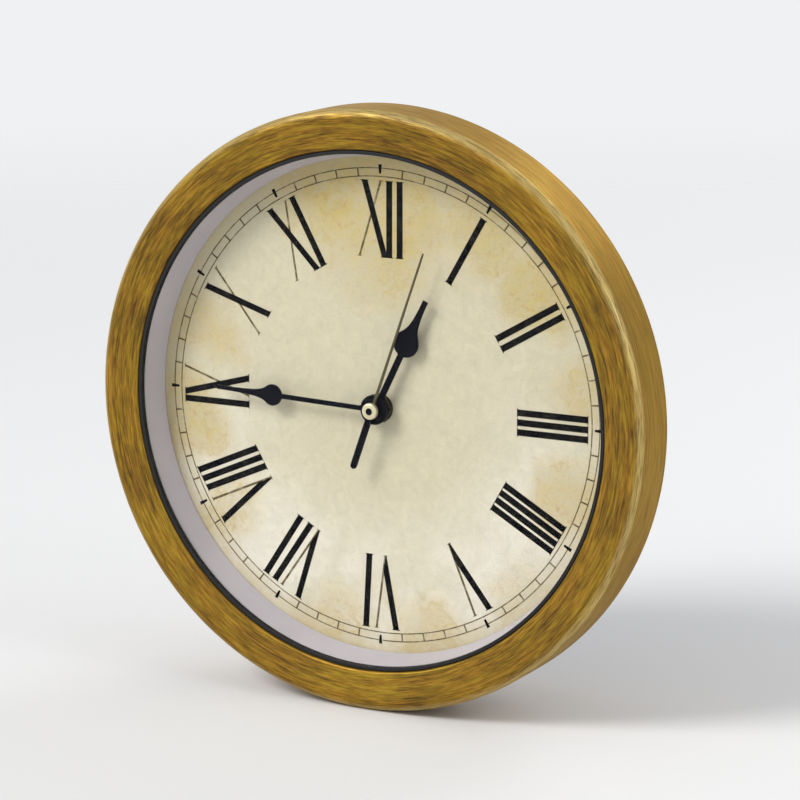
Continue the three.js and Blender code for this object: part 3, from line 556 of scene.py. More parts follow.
def streaked_gold(name, light, mid, dark, wear_and_highlight, streak, metallic, edge, side):
    """Antique gold with streaks round the clock, and a painted highlight along its edge.

    The edge is where radius, then depth, bring the painted highlight from none to full, in m.
    The side is how far the streaks fade to an even satin on the outside of that edge.
    """
    tint = (1.0, 0.82, 0.48, 1)
    made, tree = material(name, Metallic=metallic, Specular_IOR_Level=0.25, Specular_Tint=tint)
    coarse = use(tree, turned_streaks, Around=5.5, Across=720.0, Detail=4.0, Waver=0.7)[0]
    fine = use(tree, turned_streaks, Around=17.0, Across=2300.0, Detail=3.0, Waver=0.3)[0]
    drift = use(tree, turned_streaks, Around=4.0, Across=420.0, Detail=3.0, Waver=0.8)[0]
    patch = noise(tree, place_of(tree), 30.0, 4.0, 0.6, 0.8)
    strokes = maths(tree, "ADD", product(tree, coarse, 0.38), product(tree, fine, 0.42))
    level = maths(tree, "ADD", strokes, product(tree, patch, 0.20))
    centred = maths(tree, "SUBTRACT", level, 0.5)
    grain = maths(tree, "MULTIPLY_ADD", centred, streak, 0.5, clamp=True)

    inner, outer, rear, front = edge
    parts, _, radius = polar(tree)
    depth = product(tree, parts[1], -1.0)
    round_edge = mapped(tree, radius, inner, outer)
    on_side = product(tree, round_edge, mapped(tree, depth, front, rear, 0.0, side))
    even = scaled(tree, maths(tree, "SUBTRACT", 0.72, grain), on_side, grain)

    brown = [0.45 * a + 0.55 * b for a, b in zip(dark, mid)]
    body = ramp(tree, even, [(0.10, dark), (0.34, brown), (0.55, mid), (0.92, light)])
    browner = opaque([1 + streak * change for change in (0.013, -0.006, -0.005)])
    greener = opaque([1 + streak * change for change in (-0.011, 0.004, -0.025)])
    tint = blended(tree, mapped(tree, drift, 0.36, 0.64), browner, greener)
    body = blended(tree, 1.0, body, tint, "MULTIPLY")
    # A painted highlight along the front outer edge, broken up by the fine streaks
    at_edge = product(tree, round_edge, mapped(tree, depth, rear, front))
    painted_edge_glint = product(tree, at_edge, mapped(tree, fine, 0.25, 0.65, 0.1, 0.65))
    body = blended(tree, painted_edge_glint, body, opaque(wear_and_highlight))
    return surfaced(made, body, mapped(tree, even, 0.1, 0.9, 0.54, 0.38), grain, 0.4, 0.06)


# Each stain's X and Z, how far it reaches, and its strength
STAINS = (
    (2, 92, 60, 1.0), (44, 78, 34, 0.75), (-24, 90, 20, 0.85), (30, 92, 22, 0.9),
    (72, 56, 26, 0.95), (94, 18, 24, 0.5), (88, -34, 28, 0.8), (62, -66, 18, 0.35),
    (22, -96, 26, 0.6), (-20, -94, 24, 0.55), (-74, -52, 26, 0.5), (-96, -12, 26, 0.8),
    (-84, 26, 28, 0.8), (-40, 84, 26, 0.5),
)


def stained(tree, place):
    """Soft stains of old paper with wandering edges."""
    warp = noise(tree, place, 22.0, 4.0, 0.6, output="Color")
    shift = vectors(tree, "SUBTRACT", warp, (0.5, 0.5, 0.5))
    moved = vectors(tree, "MULTIPLY_ADD", shift, (0.05, 0.05, 0.05), place)
    total = 0.0
    for x, z, reach, strength in STAINS:
        centre = (x * MM, DIAL_LOW.y, z * MM)
        away = vectors(tree, "DISTANCE", moved, centre, output="Value")
        spot = mapped(tree, away, reach * MM, 0.25 * reach * MM, 0.0, strength)
        total = maths(tree, "MAXIMUM", total, spot)
    return total


def parchment(colours):
    made, tree = material("Aged Parchment", Specular_IOR_Level=0.2)
    paper = use(tree, paper_mottle, Blotch_Size=34.0, Stain_Size=150.0, Fibre_Size=1000.0)
    blotches, mottling, fibres = paper["Blotches"], paper["Stains"], paper["Fibres"]
    place = place_of(tree)
    parts, _, radius = polar(tree)

    # Paler patches, more towards the bottom of the dial and away from its middle
    outward = mapped(tree, radius, 0.030, 0.085)
    lower = mapped(tree, parts[2], 0.04, -0.06)
    pale_lower_patches = product(tree, lower, outward, mapped(tree, blotches, 0.3, 0.6, 0.4, 1.0))
    body = blended(tree, pale_lower_patches, opaque(colours.paper), opaque(colours.paper_pale))

    patchy = product(tree, stained(tree, place), mapped(tree, blotches, 0.32, 0.62, 0.7, 1.0))
    broken = mapped(tree, mottling, 0.32, 0.62, 0.62, 1.12)
    stains = maths(tree, "MULTIPLY", patchy, broken, clamp=True)
    body = blended(tree, stains, body, opaque(colours.paper_tan))

    at_tide = mapped(tree, gap_from(tree, stains, 0.48), 0.09, 0.0, 0.0, 0.3)
    tide = product(tree, at_tide, mapped(tree, blotches, 0.35, 0.6))
    body = blended(tree, tide, body, (0.52, 0.38, 0.13, 1))

    specks = mapped(tree, noise(tree, place, 330.0, 4.0, 0.6, 0.5), 0.53, 0.72)
    spots = product(tree, specks, scaled(tree, stains, 0.5, 0.10))
    body = blended(tree, spots, body, (0.50, 0.30, 0.12, 1))

    ridge = gap_from(tree, noise(tree, place, 30.0, 5.0, 0.6, 0.6), 0.5)
    creases = product(tree, mapped(tree, ridge, 0.010, 0.0), scaled(tree, stains, 0.30, 0.05))
    body = blended(tree, creases, body, (0.42, 0.29, 0.13, 1))

    browned = mapped(tree, mottling, 0.35, 0.65, 0.3, 0.65)
    edge = product(tree, mapped(tree, radius, 0.092, 0.105), browned)
    body = blended(tree, edge, body, opaque(colours.paper_edge))

    cloud = scaled(tree, mottling, 0.34, 0.83)
    fibre = product(tree, scaled(tree, fibres, 0.22, 0.89), cloud)
    grey = put(tree, "ShaderNodeCombineColor", {0: fibre, 1: fibre, 2: fibre})[0]
    body = blended(tree, 1.0, body, grey, "MULTIPLY")
    return surfaced(made, body, mapped(tree, blotches, 0.3, 0.7, 0.62, 0.78), fibres, 0.25, 0.03)


def printed_ink(name, ink, fade, paper):
    """Ink that thins where the paper's fibres show through it."""
    made, tree = material(name, Specular_IOR_Level=0.03)
    wear_and_highlight = use(tree, paper_mottle, Blotch_Size=70.0, Stain_Size=240.0, Fibre_Size=1500.0)
    thin = product(tree, mapped(tree, wear_and_highlight["Stains"], 0.42, 0.72), fade)
    return fed(
        made,
        Base_Color=blended(tree, thin, opaque(ink), opaque(paper)),
        Roughness=mapped(tree, wear_and_highlight["Fibres"], 0.3, 0.7, 0.45, 0.62),
    )


def plastic(name, tint, rough, bumps, metallic=0.0, specular=0.5, grain=2600.0, cloud=0.14):
    """Moulded plastic or satin paint with a fine grain, slow changes of tone and soft smears."""
    made, tree = material(name, Metallic=metallic, Specular_IOR_Level=specular)
    texture = use(tree, moulded_grain, Grain_Size=grain, Patch_Size=30.0)
    smears = use(tree, handling_marks, Smear_Size=24.0)[0]
    deep = opaque([value * (1 - cloud) for value in tint])
    pale = opaque([min(1.0, value * (1 + cloud)) for value in tint])
    satin = texture["Sheen"]
    sheen = mapped(tree, satin, 0.3, 0.7, rough - 0.2 * cloud, rough + 0.3 * cloud)
    body = blended(tree, mapped(tree, satin, 0.3, 0.7), deep, pale)
    wear_and_highlight = scaled(tree, smears, 0.3 * cloud, sheen)
    return surfaced(made, body, wear_and_highlight, texture["Height"], 0.3, bumps)


def lined_metal(made, lines, tint, shade, smear_size, smear_rough, rough, strength):
    """Feeds a metal that is darker and bumped along its lines, and duller where it is smeared."""
    tree = made.node_tree
    deep = opaque([value * shade for value in tint])
    smears = use(tree, handling_marks, Smear_Size=smear_size)[0]
    body = blended(tree, mapped(tree, lines, 0.3, 0.7), deep, opaque(tint))
    return surfaced(made, body, scaled(tree, smears, smear_rough, rough), lines, strength, 0.02)


def turned_metal(name, tint, rough, metallic=1.0, around=8.0, across=3200.0):
    """Metal with fine turning lines round the clock's axis."""
    made, tree = material(name, Metallic=metallic)
    lines = use(tree, turned_streaks, Around=around, Across=across, Detail=2.0, Waver=0.1)[0]
    return lined_metal(made, lines, tint, 0.78, 60.0, 0.14, rough, 0.18)


def brushed_metal(name, tint, rough):
    """Stamped metal with straight brush lines along X."""
    made, tree = material(name, Metallic=1.0)
    inputs = {"Vector": place_of(tree), "Scale": (60, 2400, 2400)}
    lines = noise(tree, put(tree, "ShaderNodeMapping", inputs)[0], 1.0, 2.0)
    return lined_metal(made, lines, tint, 0.72, 40.0, 0.15, rough, 0.15)


def clear_glass():
    """Clear cover that lets light and shadow rays straight through."""
    tint = (0.97, 0.985, 0.98, 1)
    made, tree = material(
        "Clear Cover", Transmission_Weight=1.0, Roughness=0.0, IOR=1.12, Base_Color=tint
    )
    light = put(tree, "ShaderNodeLightPath", {})
    through = maths(tree, "MAXIMUM", light["Is Shadow Ray"], light["Is Diffuse Ray"])
    return fed(made, Alpha=maths(tree, "SUBTRACT", 1.0, through))


def patterned(made, mask, dark, light, rough, strength, depth):
    """Feeds a material whose colour, sheen and height follow a mask."""
    tree = made.node_tree
    body = blended(tree, mask, dark, light)
    return surfaced(made, body, mapped(tree, mask, 0.0, 1.0, *rough), mask, strength, depth)


def winding():
    """Fine enamelled wire, wound across the clock."""
    made, tree = material("Copper Winding", Metallic=0.85)
    inputs = {"Vector": place_of(tree), "Scale": 900.0, "Distortion": 1.5, "Detail": 2.0}
    inputs["Detail Scale"] = 3.0
    lines = put(tree, "ShaderNodeTexWave", inputs, bands_direction="X")["Fac"]
    dark, light = (0.20, 0.055, 0.018, 1), (0.55, 0.21, 0.075, 1)
    return patterned(made, lines, dark, light, (0.5, 0.28), 0.6, 0.08)


def circuit_green():
    """Solder mask with tracks under it."""
    made, tree = material("Circuit Green", Coat_Weight=0.5, Coat_Roughness=0.15)
    inputs = {"Vector": place_of(tree), "Scale": 420.0, "Mortar Size": 0.18, "Mortar Smooth": 0.1}
    tracks = put(tree, "ShaderNodeTexBrick", inputs)["Fac"]
    dark, light = (0.006, 0.075, 0.028, 1), (0.02, 0.15, 0.06, 1)
    return patterned(made, tracks, dark, light, (0.45, 0.32), 0.5, 0.04)


FINISHES = {}


def make_finishes(colours):
    rim = (colours.gold_light, colours.gold_mid, colours.gold_dark, colours.gold_edge_highlight)
    # Radii, then depths, in m, over which the painted edge highlight comes in, for rim and band
    rim_edge = (0.1218, 0.1242, 0.0655, 0.0672)
    band = Vector(colours.band_gold)
    band_edge = (0.1060, 0.1072, 0.0430, 0.0444)
    black, paper = colours.black, colours.paper
    FINISHES.update(
        bezel=streaked_gold("Streaked Antique Gold", *rim, 4.0, 0.6, rim_edge, 0.5),
        # The band's fourth colour, band * 1.5, is a painted highlight along its front edge
        band=streaked_gold(
            "Satin Gold Band", band * 1.3, band, band * 0.55, band * 1.5, 1.6, 0.5, band_edge, 0.0
        ),
        paper=parchment(colours),
        ink=printed_ink("Printed Ink", colours.ink, 0.025, paper),
        faded=printed_ink("Faded Ink", colours.faded_ink, 0.5, paper),
        hands=plastic("Satin Black Paint", colours.hand_black, 0.3, 0.01, specular=0.07),
        needle=plastic("Grey Brown Needle", (0.078, 0.060, 0.022), 0.4, 0.01, 0.2),
        reflector=plastic("Pale Reflector", colours.reflector, 0.34, 0.008, cloud=0.05),
        rubber=plastic("Black Rubber", (0.010, 0.010, 0.011), 0.62, 0.03, specular=0.3),
        black=plastic("Gloss Black Plastic", black, 0.22, 0.012, specular=0.24),
        satin=plastic("Satin Black Plastic", black, 0.38, 0.03, specular=0.24),
        slate=plastic("Slate Plastic", colours.slate, 0.38, 0.03, grain=1700.0, cloud=0.05),
        nylon=plastic("Natural Nylon", (0.66, 0.63, 0.54), 0.46, 0.015),
        magnet=plastic("Sintered Magnet", (0.05, 0.05, 0.052), 0.48, 0.05, 0.7),
        sleeve=plastic("Printed Sleeve", (0.045, 0.05, 0.06), 0.3, 0.006, 0.3),
        silver=plastic("Silver Sleeve", (0.45, 0.45, 0.46), 0.28, 0.006, 0.8),
        brass=turned_metal("Turned Brass", (0.66, 0.49, 0.22), 0.28),
        dark_brass=turned_metal("Darkened Brass", (0.075, 0.055, 0.030), 0.42, 0.8),
        hub=turned_metal("Cream Brass", (0.78, 0.69, 0.46), 0.34, 0.7, 6.0, 5200.0),
        steel=turned_metal("Turned Steel", (0.58, 0.58, 0.6), 0.3),
        zinc=brushed_metal("Brushed Zinc", (0.62, 0.62, 0.64), 0.3),
        spring=brushed_metal("Spring Steel", (0.66, 0.65, 0.62), 0.24),
        glass=clear_glass(),
        winding=winding(),
        board=circuit_green(),
    )


def finish(name):
    """A finish by name. They are made when the first is asked for."""
    if not FINISHES:
        make_finishes(bpy.context.scene.clock_colours)
    return FINISHES[name]


# Door


class CLOCKSAFE_OT_bezel(bpy.types.Operator):
    """Turn the streaked gold rim, with the bosses that its screws go into"""

    bl_idname = "clocksafe.bezel"
    bl_label = "Rim"

    def execute(self, context):
        sizes = context.scene.clock_sizes
        outer, inner = sizes.rim_radius / MM, sizes.opening_radius / MM
        front, edge = sizes.rim_front / MM, sizes.rim_round / MM
        outline = [
            (outer - 2.2, 44.5),
            *arc((outer - 0.5, 44.5), 0.5, 270, 360, 4),
            *arc((outer - edge, front - edge), edge, 0, 90, 14),
            (outer - 8.2, front - 0.42), (outer - 11.4, front - 0.98),
            *arc((inner + 1.1, front - 2.72), 1.1, 84, 180, 8),
            (inner, front - 3.4), (outer - edge, front - 3.4),
            (outer - 3.2, front - 4.6), (outer - 2.2, front - 7.0),
        ]
        parts = [turned("rim", outline, sizes.rim_steps)]
        bore, wall, rear, top, screw_circle = 1.35, 3.0, 46.3, 67, 116.5
        outline = [(bore, rear), (wall - 0.3, rear), (wall, rear + 0.3), (wall, top), (bore, top)]
        boss = turned("boss", outline, 28)
        for x, z in arc((0, 0), screw_circle, 30, 330, 5):
            parts.append(copied(boss, "rim_boss", (x, 0, z)))
        bpy.data.objects.remove(boss)
        rim = joined("gold_rim", parts)
        shown(painted(rim, "bezel"), "door", "bezel_gold", "bezel")
        return {"FINISHED"}


class CLOCKSAFE_OT_glass(bpy.types.Operator):
    """Turn the clear cover and the thin black seal round it"""

    bl_idname = "clocksafe.glass"
    bl_label = "Cover and Seal"

    def execute(self, context):
        steps = context.scene.clock_sizes.rim_steps
        outline = [(111.7, 63.6), (112, 63.9), (112, 64.9), (111.7, 65.2)]
        cover = turned("clear_cover", outline, steps, hollow=False)
        shown(painted(cover, "glass"), "door", "lens", "lens", angle=20)
        lip = [
            (106.5, 65.25), (110.6, 65.25), (110.6, 66.3), (108.1, 66.3),
            *arc((107.7, 67.1), 0.4, 0, 90, 4),
            *arc((106.8, 67.2), 0.3, 90, 180, 4),
        ]
        seal = turned("cover_seal", lip, steps)
        shown(painted(seal, "rubber"), "door", "rubber", "lens_gasket")
        return {"FINISHED"}


class CLOCKSAFE_OT_reflector(bpy.types.Operator):
    """Turn the pale sloped ring between the cover and the dial"""

    bl_idname = "clocksafe.reflector"
    bl_label = "Reflector Ring"

    def execute(self, context):
        outline = [
            (104.0, 52.5), (104.2, 52.3), (105.2, 52.3), (108.4, 61.9),
            (109.0, 62.1), (112.0, 62.1), (112.0, 63.3),
            *arc((107.7, 62.8), 0.5, 90, 165, 5),
            (105.9, 58.4), (104.9, 55.4),
        ]
        ring = turned("reflector", outline, context.scene.clock_sizes.rim_steps)
        shown(painted(ring, "reflector"), "door", "pale", "reflector_ring")
        return {"FINISHED"}


class CLOCKSAFE_OT_dial(bpy.types.Operator):
    """Turn the parchment dial"""

    bl_idname = "clocksafe.dial"
    bl_label = "Dial"

    def execute(self, context):
        sizes = context.scene.clock_sizes
        outer, front, rear = sizes.dial_radius / MM, sizes.dial_front / MM, -DIAL_HIGH.y / MM
        hole, edge = 4.3, 0.2
        outline = [(hole, rear), (outer, rear), (outer, front - edge)]
        outline += [(outer - edge, front), (hole, front)]
        dial = turned("parchment_dial", outline, sizes.rim_steps)
        shown(painted(dial, "paper"), "door", "parchment", "dial")
        return {"FINISHED"}


# The strokes of each numeral: how thick, and the sideways places of foot and top
THICK, THIN, POINTED = "thick", "thin", "pointed"
HOURS = (
    ((THICK, 0, 0),),
    ((THICK, -2.3, -2.3), (THICK, 2.3, 2.3)),
    ((THICK, -4.05, -4.05), (THICK, 0, 0), (THICK, 4.05, 4.05)),
    ((THICK, -5.6, -5.6), (THICK, -1.87, -1.87), (THICK, 1.87, 1.87), (THICK, 5.6, 5.6)),
    ((POINTED, -0.9, -4.3), (THIN, -0.6, 3.3)),
    ((POINTED, -2.6, -7.4), (THIN, -2.3, 1.9), (THICK, 5.2, 6.9)),
    ((POINTED, -2.6, -8.6), (THIN, -2.3, 0.5), (THICK, 2.1, 4.4), (THICK, 7.6, 9.3)),
    (
        (POINTED, -4.6, -10.8), (THIN, -4.3, -0.9),
        (THICK, 1.0, 4.6), (THICK, 5.2, 8.8), (THICK, 9.4, 13.0),
    ),
    ((THICK, -4.9, -4.9), (THICK, 6.4, -2.0), (THIN, -1.2, 9.2)),
    ((THICK, 3.6, -3.2), (THIN, -6.4, 6.2)),
    ((THICK, 2.2, -5.8), (THIN, -9.0, 3.0), (THICK, 5.7, 6.4)),
    ((THICK, 2.2, -7.2), (THIN, -9.6, 0.3), (THICK, 4.2, 4.2), (THICK, 9.0, 9.0)),
)
HOUR_TURN = math.radians(30)
MINUTE_TURN = math.radians(6)


class CLOCKSAFE_OT_numerals(bpy.types.Operator):
    """Lay the Roman numerals on the dial, feet to the centre, from thick and thin strokes"""

    bl_idname = "clocksafe.numerals"
    bl_label = "Numerals"

    def execute(self, context):
        sizes = context.scene.clock_sizes
        low, high = sizes.numeral_inner / MM, sizes.numeral_outer / MM
        face, ink = sizes.dial_front / MM, sizes.ink_height / MM
        serif, serif_reach = 0.32, 0.5
        point, full_at = 0.2, 0.22  # a pointed foot's half width, and how far up it is full
        bars = {"ink": [], "faded": []}
        for hour, strokes in enumerate(HOURS, 1):
            for kind, foot, top in strokes:
                fine = kind == THIN
                half = (sizes.thin_stroke if fine else sizes.thick_stroke) / MM / 2
                front = face + ink * (0.6 if fine else 1)
                steps = [(low, foot - half, foot + half), (high, top - half, top + half)]
                if kind == POINTED:
                    left = foot - point + (top - half - foot + point) * full_at
                    full = (low + (high - low) * full_at, left, left + 2 * half)
                    steps = [(low, foot - point, foot + point), full, steps[1]]
                made = [plate("stroke", steps, (face, front))]
                ends = [(top, high - serif, high)]
                if kind == THICK or foot != strokes[0][1]:
                    ends.append((foot, low, low + serif))
                wide = half + serif_reach
                for middle, *height in ends:
                    across = (middle - wide, middle + wide)
                    made.append(block("serif", across, (face, front - 0.2 * ink), height))
                turn = (0, HOUR_TURN * hour, 0)
                bars["faded" if fine else "ink"] += [placed(bar, turn=turn) for bar in made]
        for paint, name in (("ink", "numerals"), ("faded", "numeral_hairlines")):
            shown(painted(joined(name, bars[paint]), paint), "door", "black")
        return {"FINISHED"}


class CLOCKSAFE_OT_track(bpy.types.Operator):
    """Lay the minute track on the dial"""

    bl_idname = "clocksafe.track"
    bl_label = "Minute Track"

    def execute(self, context):
        sizes = context.scene.clock_sizes
        face, thick = sizes.dial_front / MM, sizes.ink_height / MM
        front = face + thick / 2
        inner, outer = sizes.track_inner / MM, sizes.track_outer / MM
        half_line, half_tick = 0.23, 0.34
        lines = []
        for radius in (inner, outer):
            near, far = radius - half_line, radius + half_line
            outline = [(near, face), (far, face), (far, front), (near, front)]
            lines.append(turned("track_line", outline, sizes.rim_steps))
        tick = block("tick", (-half_tick, half_tick), (face, front), (inner, outer))
        steps = [(inner + 1.2, -0.45, 0.45), (outer + 1.5, -0.75, 0.75)]
        mark = plate("mark", steps, (face, face + thick))
        for i in range(60):
            if i % 5:
                lines.append(copied(tick, "tick", turn=(0, MINUTE_TURN * i, 0)))
        marks = [copied(mark, "mark", turn=(0, HOUR_TURN * i, 0)) for i in range(12)]
        bpy.data.objects.remove(tick)
        bpy.data.objects.remove(mark)
        shown(painted(joined("minute_track", lines), "faded"), "door", "black")
        shown(painted(joined("five_minute_marks", marks), "ink"), "door", "black")
        return {"FINISHED"}


def spade_widths(reach, stem, bulb_at, bulb, tip, boss):
    """Half widths up a hand: its boss, its stem, a round bulb and a tip that sweeps in."""
    side, least = stem / 2, 0.06
    widths = []
    for height, half in arc((0, 0), boss, 180, 0, 24):
        if height > 0 and half < side:
            break
        widths.append((height, max(half, least)))
    enter = -math.sqrt(bulb**2 - side**2)
    widths += [(math.sqrt(boss**2 - side**2), side), (bulb_at + enter, side)]
    widths += arc((bulb_at, 0), bulb, math.degrees(math.acos(enter / bulb)), 50, 24)[1:]
    height, shoulder = widths[-1]
    waist = tip / 2
    sweep = [(height, shoulder), (height + bulb / 2, shoulder / 2)]
    sweep += [(height + bulb, waist), (reach, waist)]
    for i in range(1, 19):
        t = i / 18
        pull = [(1 - t) ** 3, 3 * t * (1 - t) ** 2, 3 * t**2 * (1 - t), t**3]
        widths.append([sum(w * point[axis] for w, point in zip(pull, sweep)) for axis in (0, 1)])
    return widths


# Each spade hand's turn at rest in degrees, its depths, its bore and its outline
SPADES = {
    "hour": (26.1, (55.4, 56.2), 2.75, (52, 2.7, 31.7, 5.6, 2.2, 5.4)),
    "minute": (272, (57.2, 58.0), 1.75, (75, 2.0, 48.2, 4.5, 1.6, 6.2)),
}


class CLOCKSAFE_OT_hands(bpy.types.Operator):
    """Shape the two spade hands, the needle with its tail, and the cap on them"""

    bl_idname = "clocksafe.hands"
    bl_label = "Hands"

    def execute(self, context):
        for name, (turn, depth, bore, outline) in SPADES.items():
            hand = tapered(f"{name}_spade", spade_widths(*outline), depth)
            edged(cut(hand, rod(bore, 50, 62)), 0.16)
            placed(hand, turn=(0, math.radians(turn), 0))
            shown(painted(hand, "hands"), f"{name}_hand", "hand_black", f"{name}_hand")

        tail_end, boss = (-25.3, 0), 2.6
        widths = [(height, max(half, 0.05)) for height, half in arc(tail_end, 1.4, 180, 90, 8)]
        widths += arc((0, 0), boss, 147, 17, 16)
        widths += [(2.62, 0.54), (30, 0.45), (66, 0.36), (71, 0.22)]
        needle = tapered("second_needle", widths, (59.2, 60.0))
        edged(cut(needle, rod(0.75, 50, 64, steps=20)), 0.1)
        painted(needle, "needle", "hands", second=lambda radius, depth, height: height < 2.7)
        placed(needle, turn=(0, math.radians(19.5), 0))
        shown(needle, "second_hand", "second_grey", "second_hand")

        outline = [(3.4, 60.15), (3.4, 61.45), *arc((2.8, 61.45), 0.6, 15, 90, 5)]
        outline += [(1.5, 62.05), (1.4, 61.95), (1.4, 61.55)]
        cap = turned("hub_button", outline, 64, hollow=False)
        painted(cap, "hub", "hands", second=lambda radius, depth, _: radius < 1.55 and depth > 61)
        shown(cap, "second_hand", "brass", "hub_cap")
        return {"FINISHED"}


class CLOCKSAFE_OT_door_back(bpy.types.Operator):
    """Finish the black back of the door, which carries the dial and the movement"""

    bl_idname = "clocksafe.door_back"
    bl_label = "Door Back"

    def execute(self, context):
        width = context.scene.clock_sizes.edge_round / MM
        refitted("door_back", "door_shell", width, "black", "door", "black")
        return {"FINISHED"}


class CLOCKSAFE_OT_movement(bpy.types.Operator):
    """Finish the quartz movement's box, its nut, washer, contacts and setting knob"""

    bl_idname = "clocksafe.movement"
    bl_label = "Movement"

    def execute(self, context):
        refitted("movement_front", "movement_tray", 0.3, "satin", "door", "black")
        refitted("movement_cover", "movement_lid", 0.3, "satin", "door", "black")
        refitted("movement_nut", "hex_nut", 0.25, "dark_brass", "door", "brass")
        outline = [(4.25, 52.15), (5.9, 52.15), (6, 52.25), (6, 52.55), (5.9, 52.65), (4.25, 52.65)]
        washer = turned("rubber_washer", outline, 64)
        shown(painted(washer, "rubber"), "door", "rubber", "dial_washer")
        for side in ("negative", "positive"):
            refitted(f"contact_{side}", f"{side}_plate", 0.1, "spring", "door", "steel")
        refitted("set_knob", "setting_knob", 0.18, "nylon", "set_knob", "nylon")
        return {"FINISHED"}


class CLOCKSAFE_OT_battery(bpy.types.Operator):
    """Turn the cell with its crimped sleeve, shoulder and button"""

    bl_idname = "clocksafe.battery"
    bl_label = "Cell"

    def execute(self, context):
        low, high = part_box("battery")
        outline = [
            (5.6, -24.6), (6.0, -25.0), (6.5, -25.0), (7.0, -24.6), (7.1, -24.2),
            (7.1, 17.2), (7.1, 22.9), (6.9, 23.3), (6.4, 23.6), (6.1, 24.0),
            (2.9, 24.0), (2.75, 24.1), (2.75, 24.8), (2.55, 25.0),
        ]
        cell = turned("dry_cell", outline, 72, hollow=False)
        painted(cell, "sleeve", "silver", second=lambda radius, depth, _: not -24.1 <= depth <= 17)
        placed(cell, (low + high) / 2 / MM, (0, 0, QUARTER))
        shown(cell, "battery", "battery", "battery")
        return {"FINISHED"}


# The finishes of the inner nodes that keep their CAD shape
WORKS = {
    "nylon": ["hour_wheel", "second_wheel", "motion_wheel", "step_wheel"],
    "brass": ["cannon_pinion"],
    "magnet": ["rotor"],
    "zinc": ["stator"],
    "spring": ["crystal_can"],
    "winding": ["drive_coil"],
    "board": ["circuit_board"],
}


class CLOCKSAFE_OT_works(bpy.types.Operator):
    """Give the gears, board, coil and rotor inside the movement their finishes"""

    bl_idname = "clocksafe.works"
    bl_label = "Works"

    def execute(self, context):
        for name, nodes in WORKS.items():
            for node in nodes:
                for slot in NODES[node].material_slots:
                    slot.material = finish(name)
        return {"FINISHED"}


# Case


class CLOCKSAFE_OT_pan(bpy.types.Operator):
    """Finish the slate case with its black mouth ring"""

    bl_idname = "clocksafe.pan"
    bl_label = "Case"

    def execute(self, context):
        pan = refined("case_pan", "case_shell", context.scene.clock_sizes.edge_round / MM)
        mouth, rim = 96.6, 44.7
        painted(pan, "slate", "black", second=lambda far, depth, _: far > mouth and depth > rim)
        shown(pan, "case", "slate", "case_pan")
        return {"FINISHED"}


class CLOCKSAFE_OT_band(bpy.types.Operator):
    """Turn the gold band round the case, with its slit tab and its two slots"""

    bl_idname = "clocksafe.band"
    bl_label = "Band"

    def execute(self, context):
        outline = [(101.4, 0.0), (102.7, 0.0), (103.0, 0.3), (105.2, 22.4)]
        outline += [(107.45, 44.3), (107.1, 44.8), (106.2, 44.8), (105.9, 44.5)]
        band = turned("gold_band", outline, context.scene.clock_sizes.rim_steps)
        cutters = [block("slit", (97, 125), (34.8, 70), (z - 0.6, z + 0.6)) for z in (-11, 11)]
        cutters += [block("slot", (90, 125), (3.0, 15.0), (z - 0.5, z + 0.5)) for z in (-35, 35)]
        for z in (-7.95, 7.95):
            hole = rod(1.35, 0, 30, steps=20)
            cutters.append(placed(hole, (-97, -31.5, z), (0, 0, -QUARTER)))
        shown(painted(cut(band, *cutters), "band"), "case", "band_gold", "outer_band")
        return {"FINISHED"}


class CLOCKSAFE_OT_shelves(bpy.types.Operator):
    """Finish the glossy shelves"""

    bl_idname = "clocksafe.shelves"
    bl_label = "Shelves"

    def execute(self, context):
        for level in ("upper", "lower"):
            node, name = f"{level}_shelf", f"{level}_gloss_shelf"
            refitted(node, name, 0.45, "black", "case", "black", segments=3)
        return {"FINISHED"}


class CLOCKSAFE_OT_hinge(bpy.types.Operator):
    """Finish the hinge's leaves and its pin"""

    bl_idname = "clocksafe.hinge"
    bl_label = "Hinge"

    def execute(self, context):
        for body in ("case", "door"):
            node = f"{body}_hinge_leaf"
            refitted(node, f"black_{node}", 0.2, "satin", body, "black")
        outline = [(0.9, -16.5), (1.2, -16.2), (1.2, 16.2), (0.9, 16.5)]
        pin = turned("steel_pin", outline, 32, hollow=False)
        placed(pin, (-116, -45.3, 0), (QUARTER, 0, 0))
        shown(painted(pin, "steel"), "case", "steel", "hinge_pin")
        return {"FINISHED"}


class CLOCKSAFE_OT_hanger(bpy.types.Operator):
    """Finish the keyhole plate that the clock hangs by"""

    bl_idname = "clocksafe.hanger"
    bl_label = "Keyhole Plate"

    def execute(self, context):
        refitted("keyhole_hanger", "keyhole_plate", 0.15, "zinc", "case", "steel")
        return {"FINISHED"}


SCREW_HEAD = 1.0  # the height of a screw's head


def screw_of(reach):
    """A screw with its shaft to the front and a cross in its head, which sits on the origin."""
    dome = arc((1.35, -0.15), 0.85, 0, -80, 6)
    outline = [(0.5, reach), (1.1, reach - 0.8), (1.1, 0.0), (2.1, 0.0), *dome]
    bars = []
    screw = turned("screw", outline, 40, hollow=False)
    for turn in (0, QUARTER):
        bar = block("cross", (-1.3, 1.3), (-1.4, -0.5), (-0.22, 0.22))
        bars.append(placed(bar, turn=(0, turn, 0)))
    return cut(screw, *bars)


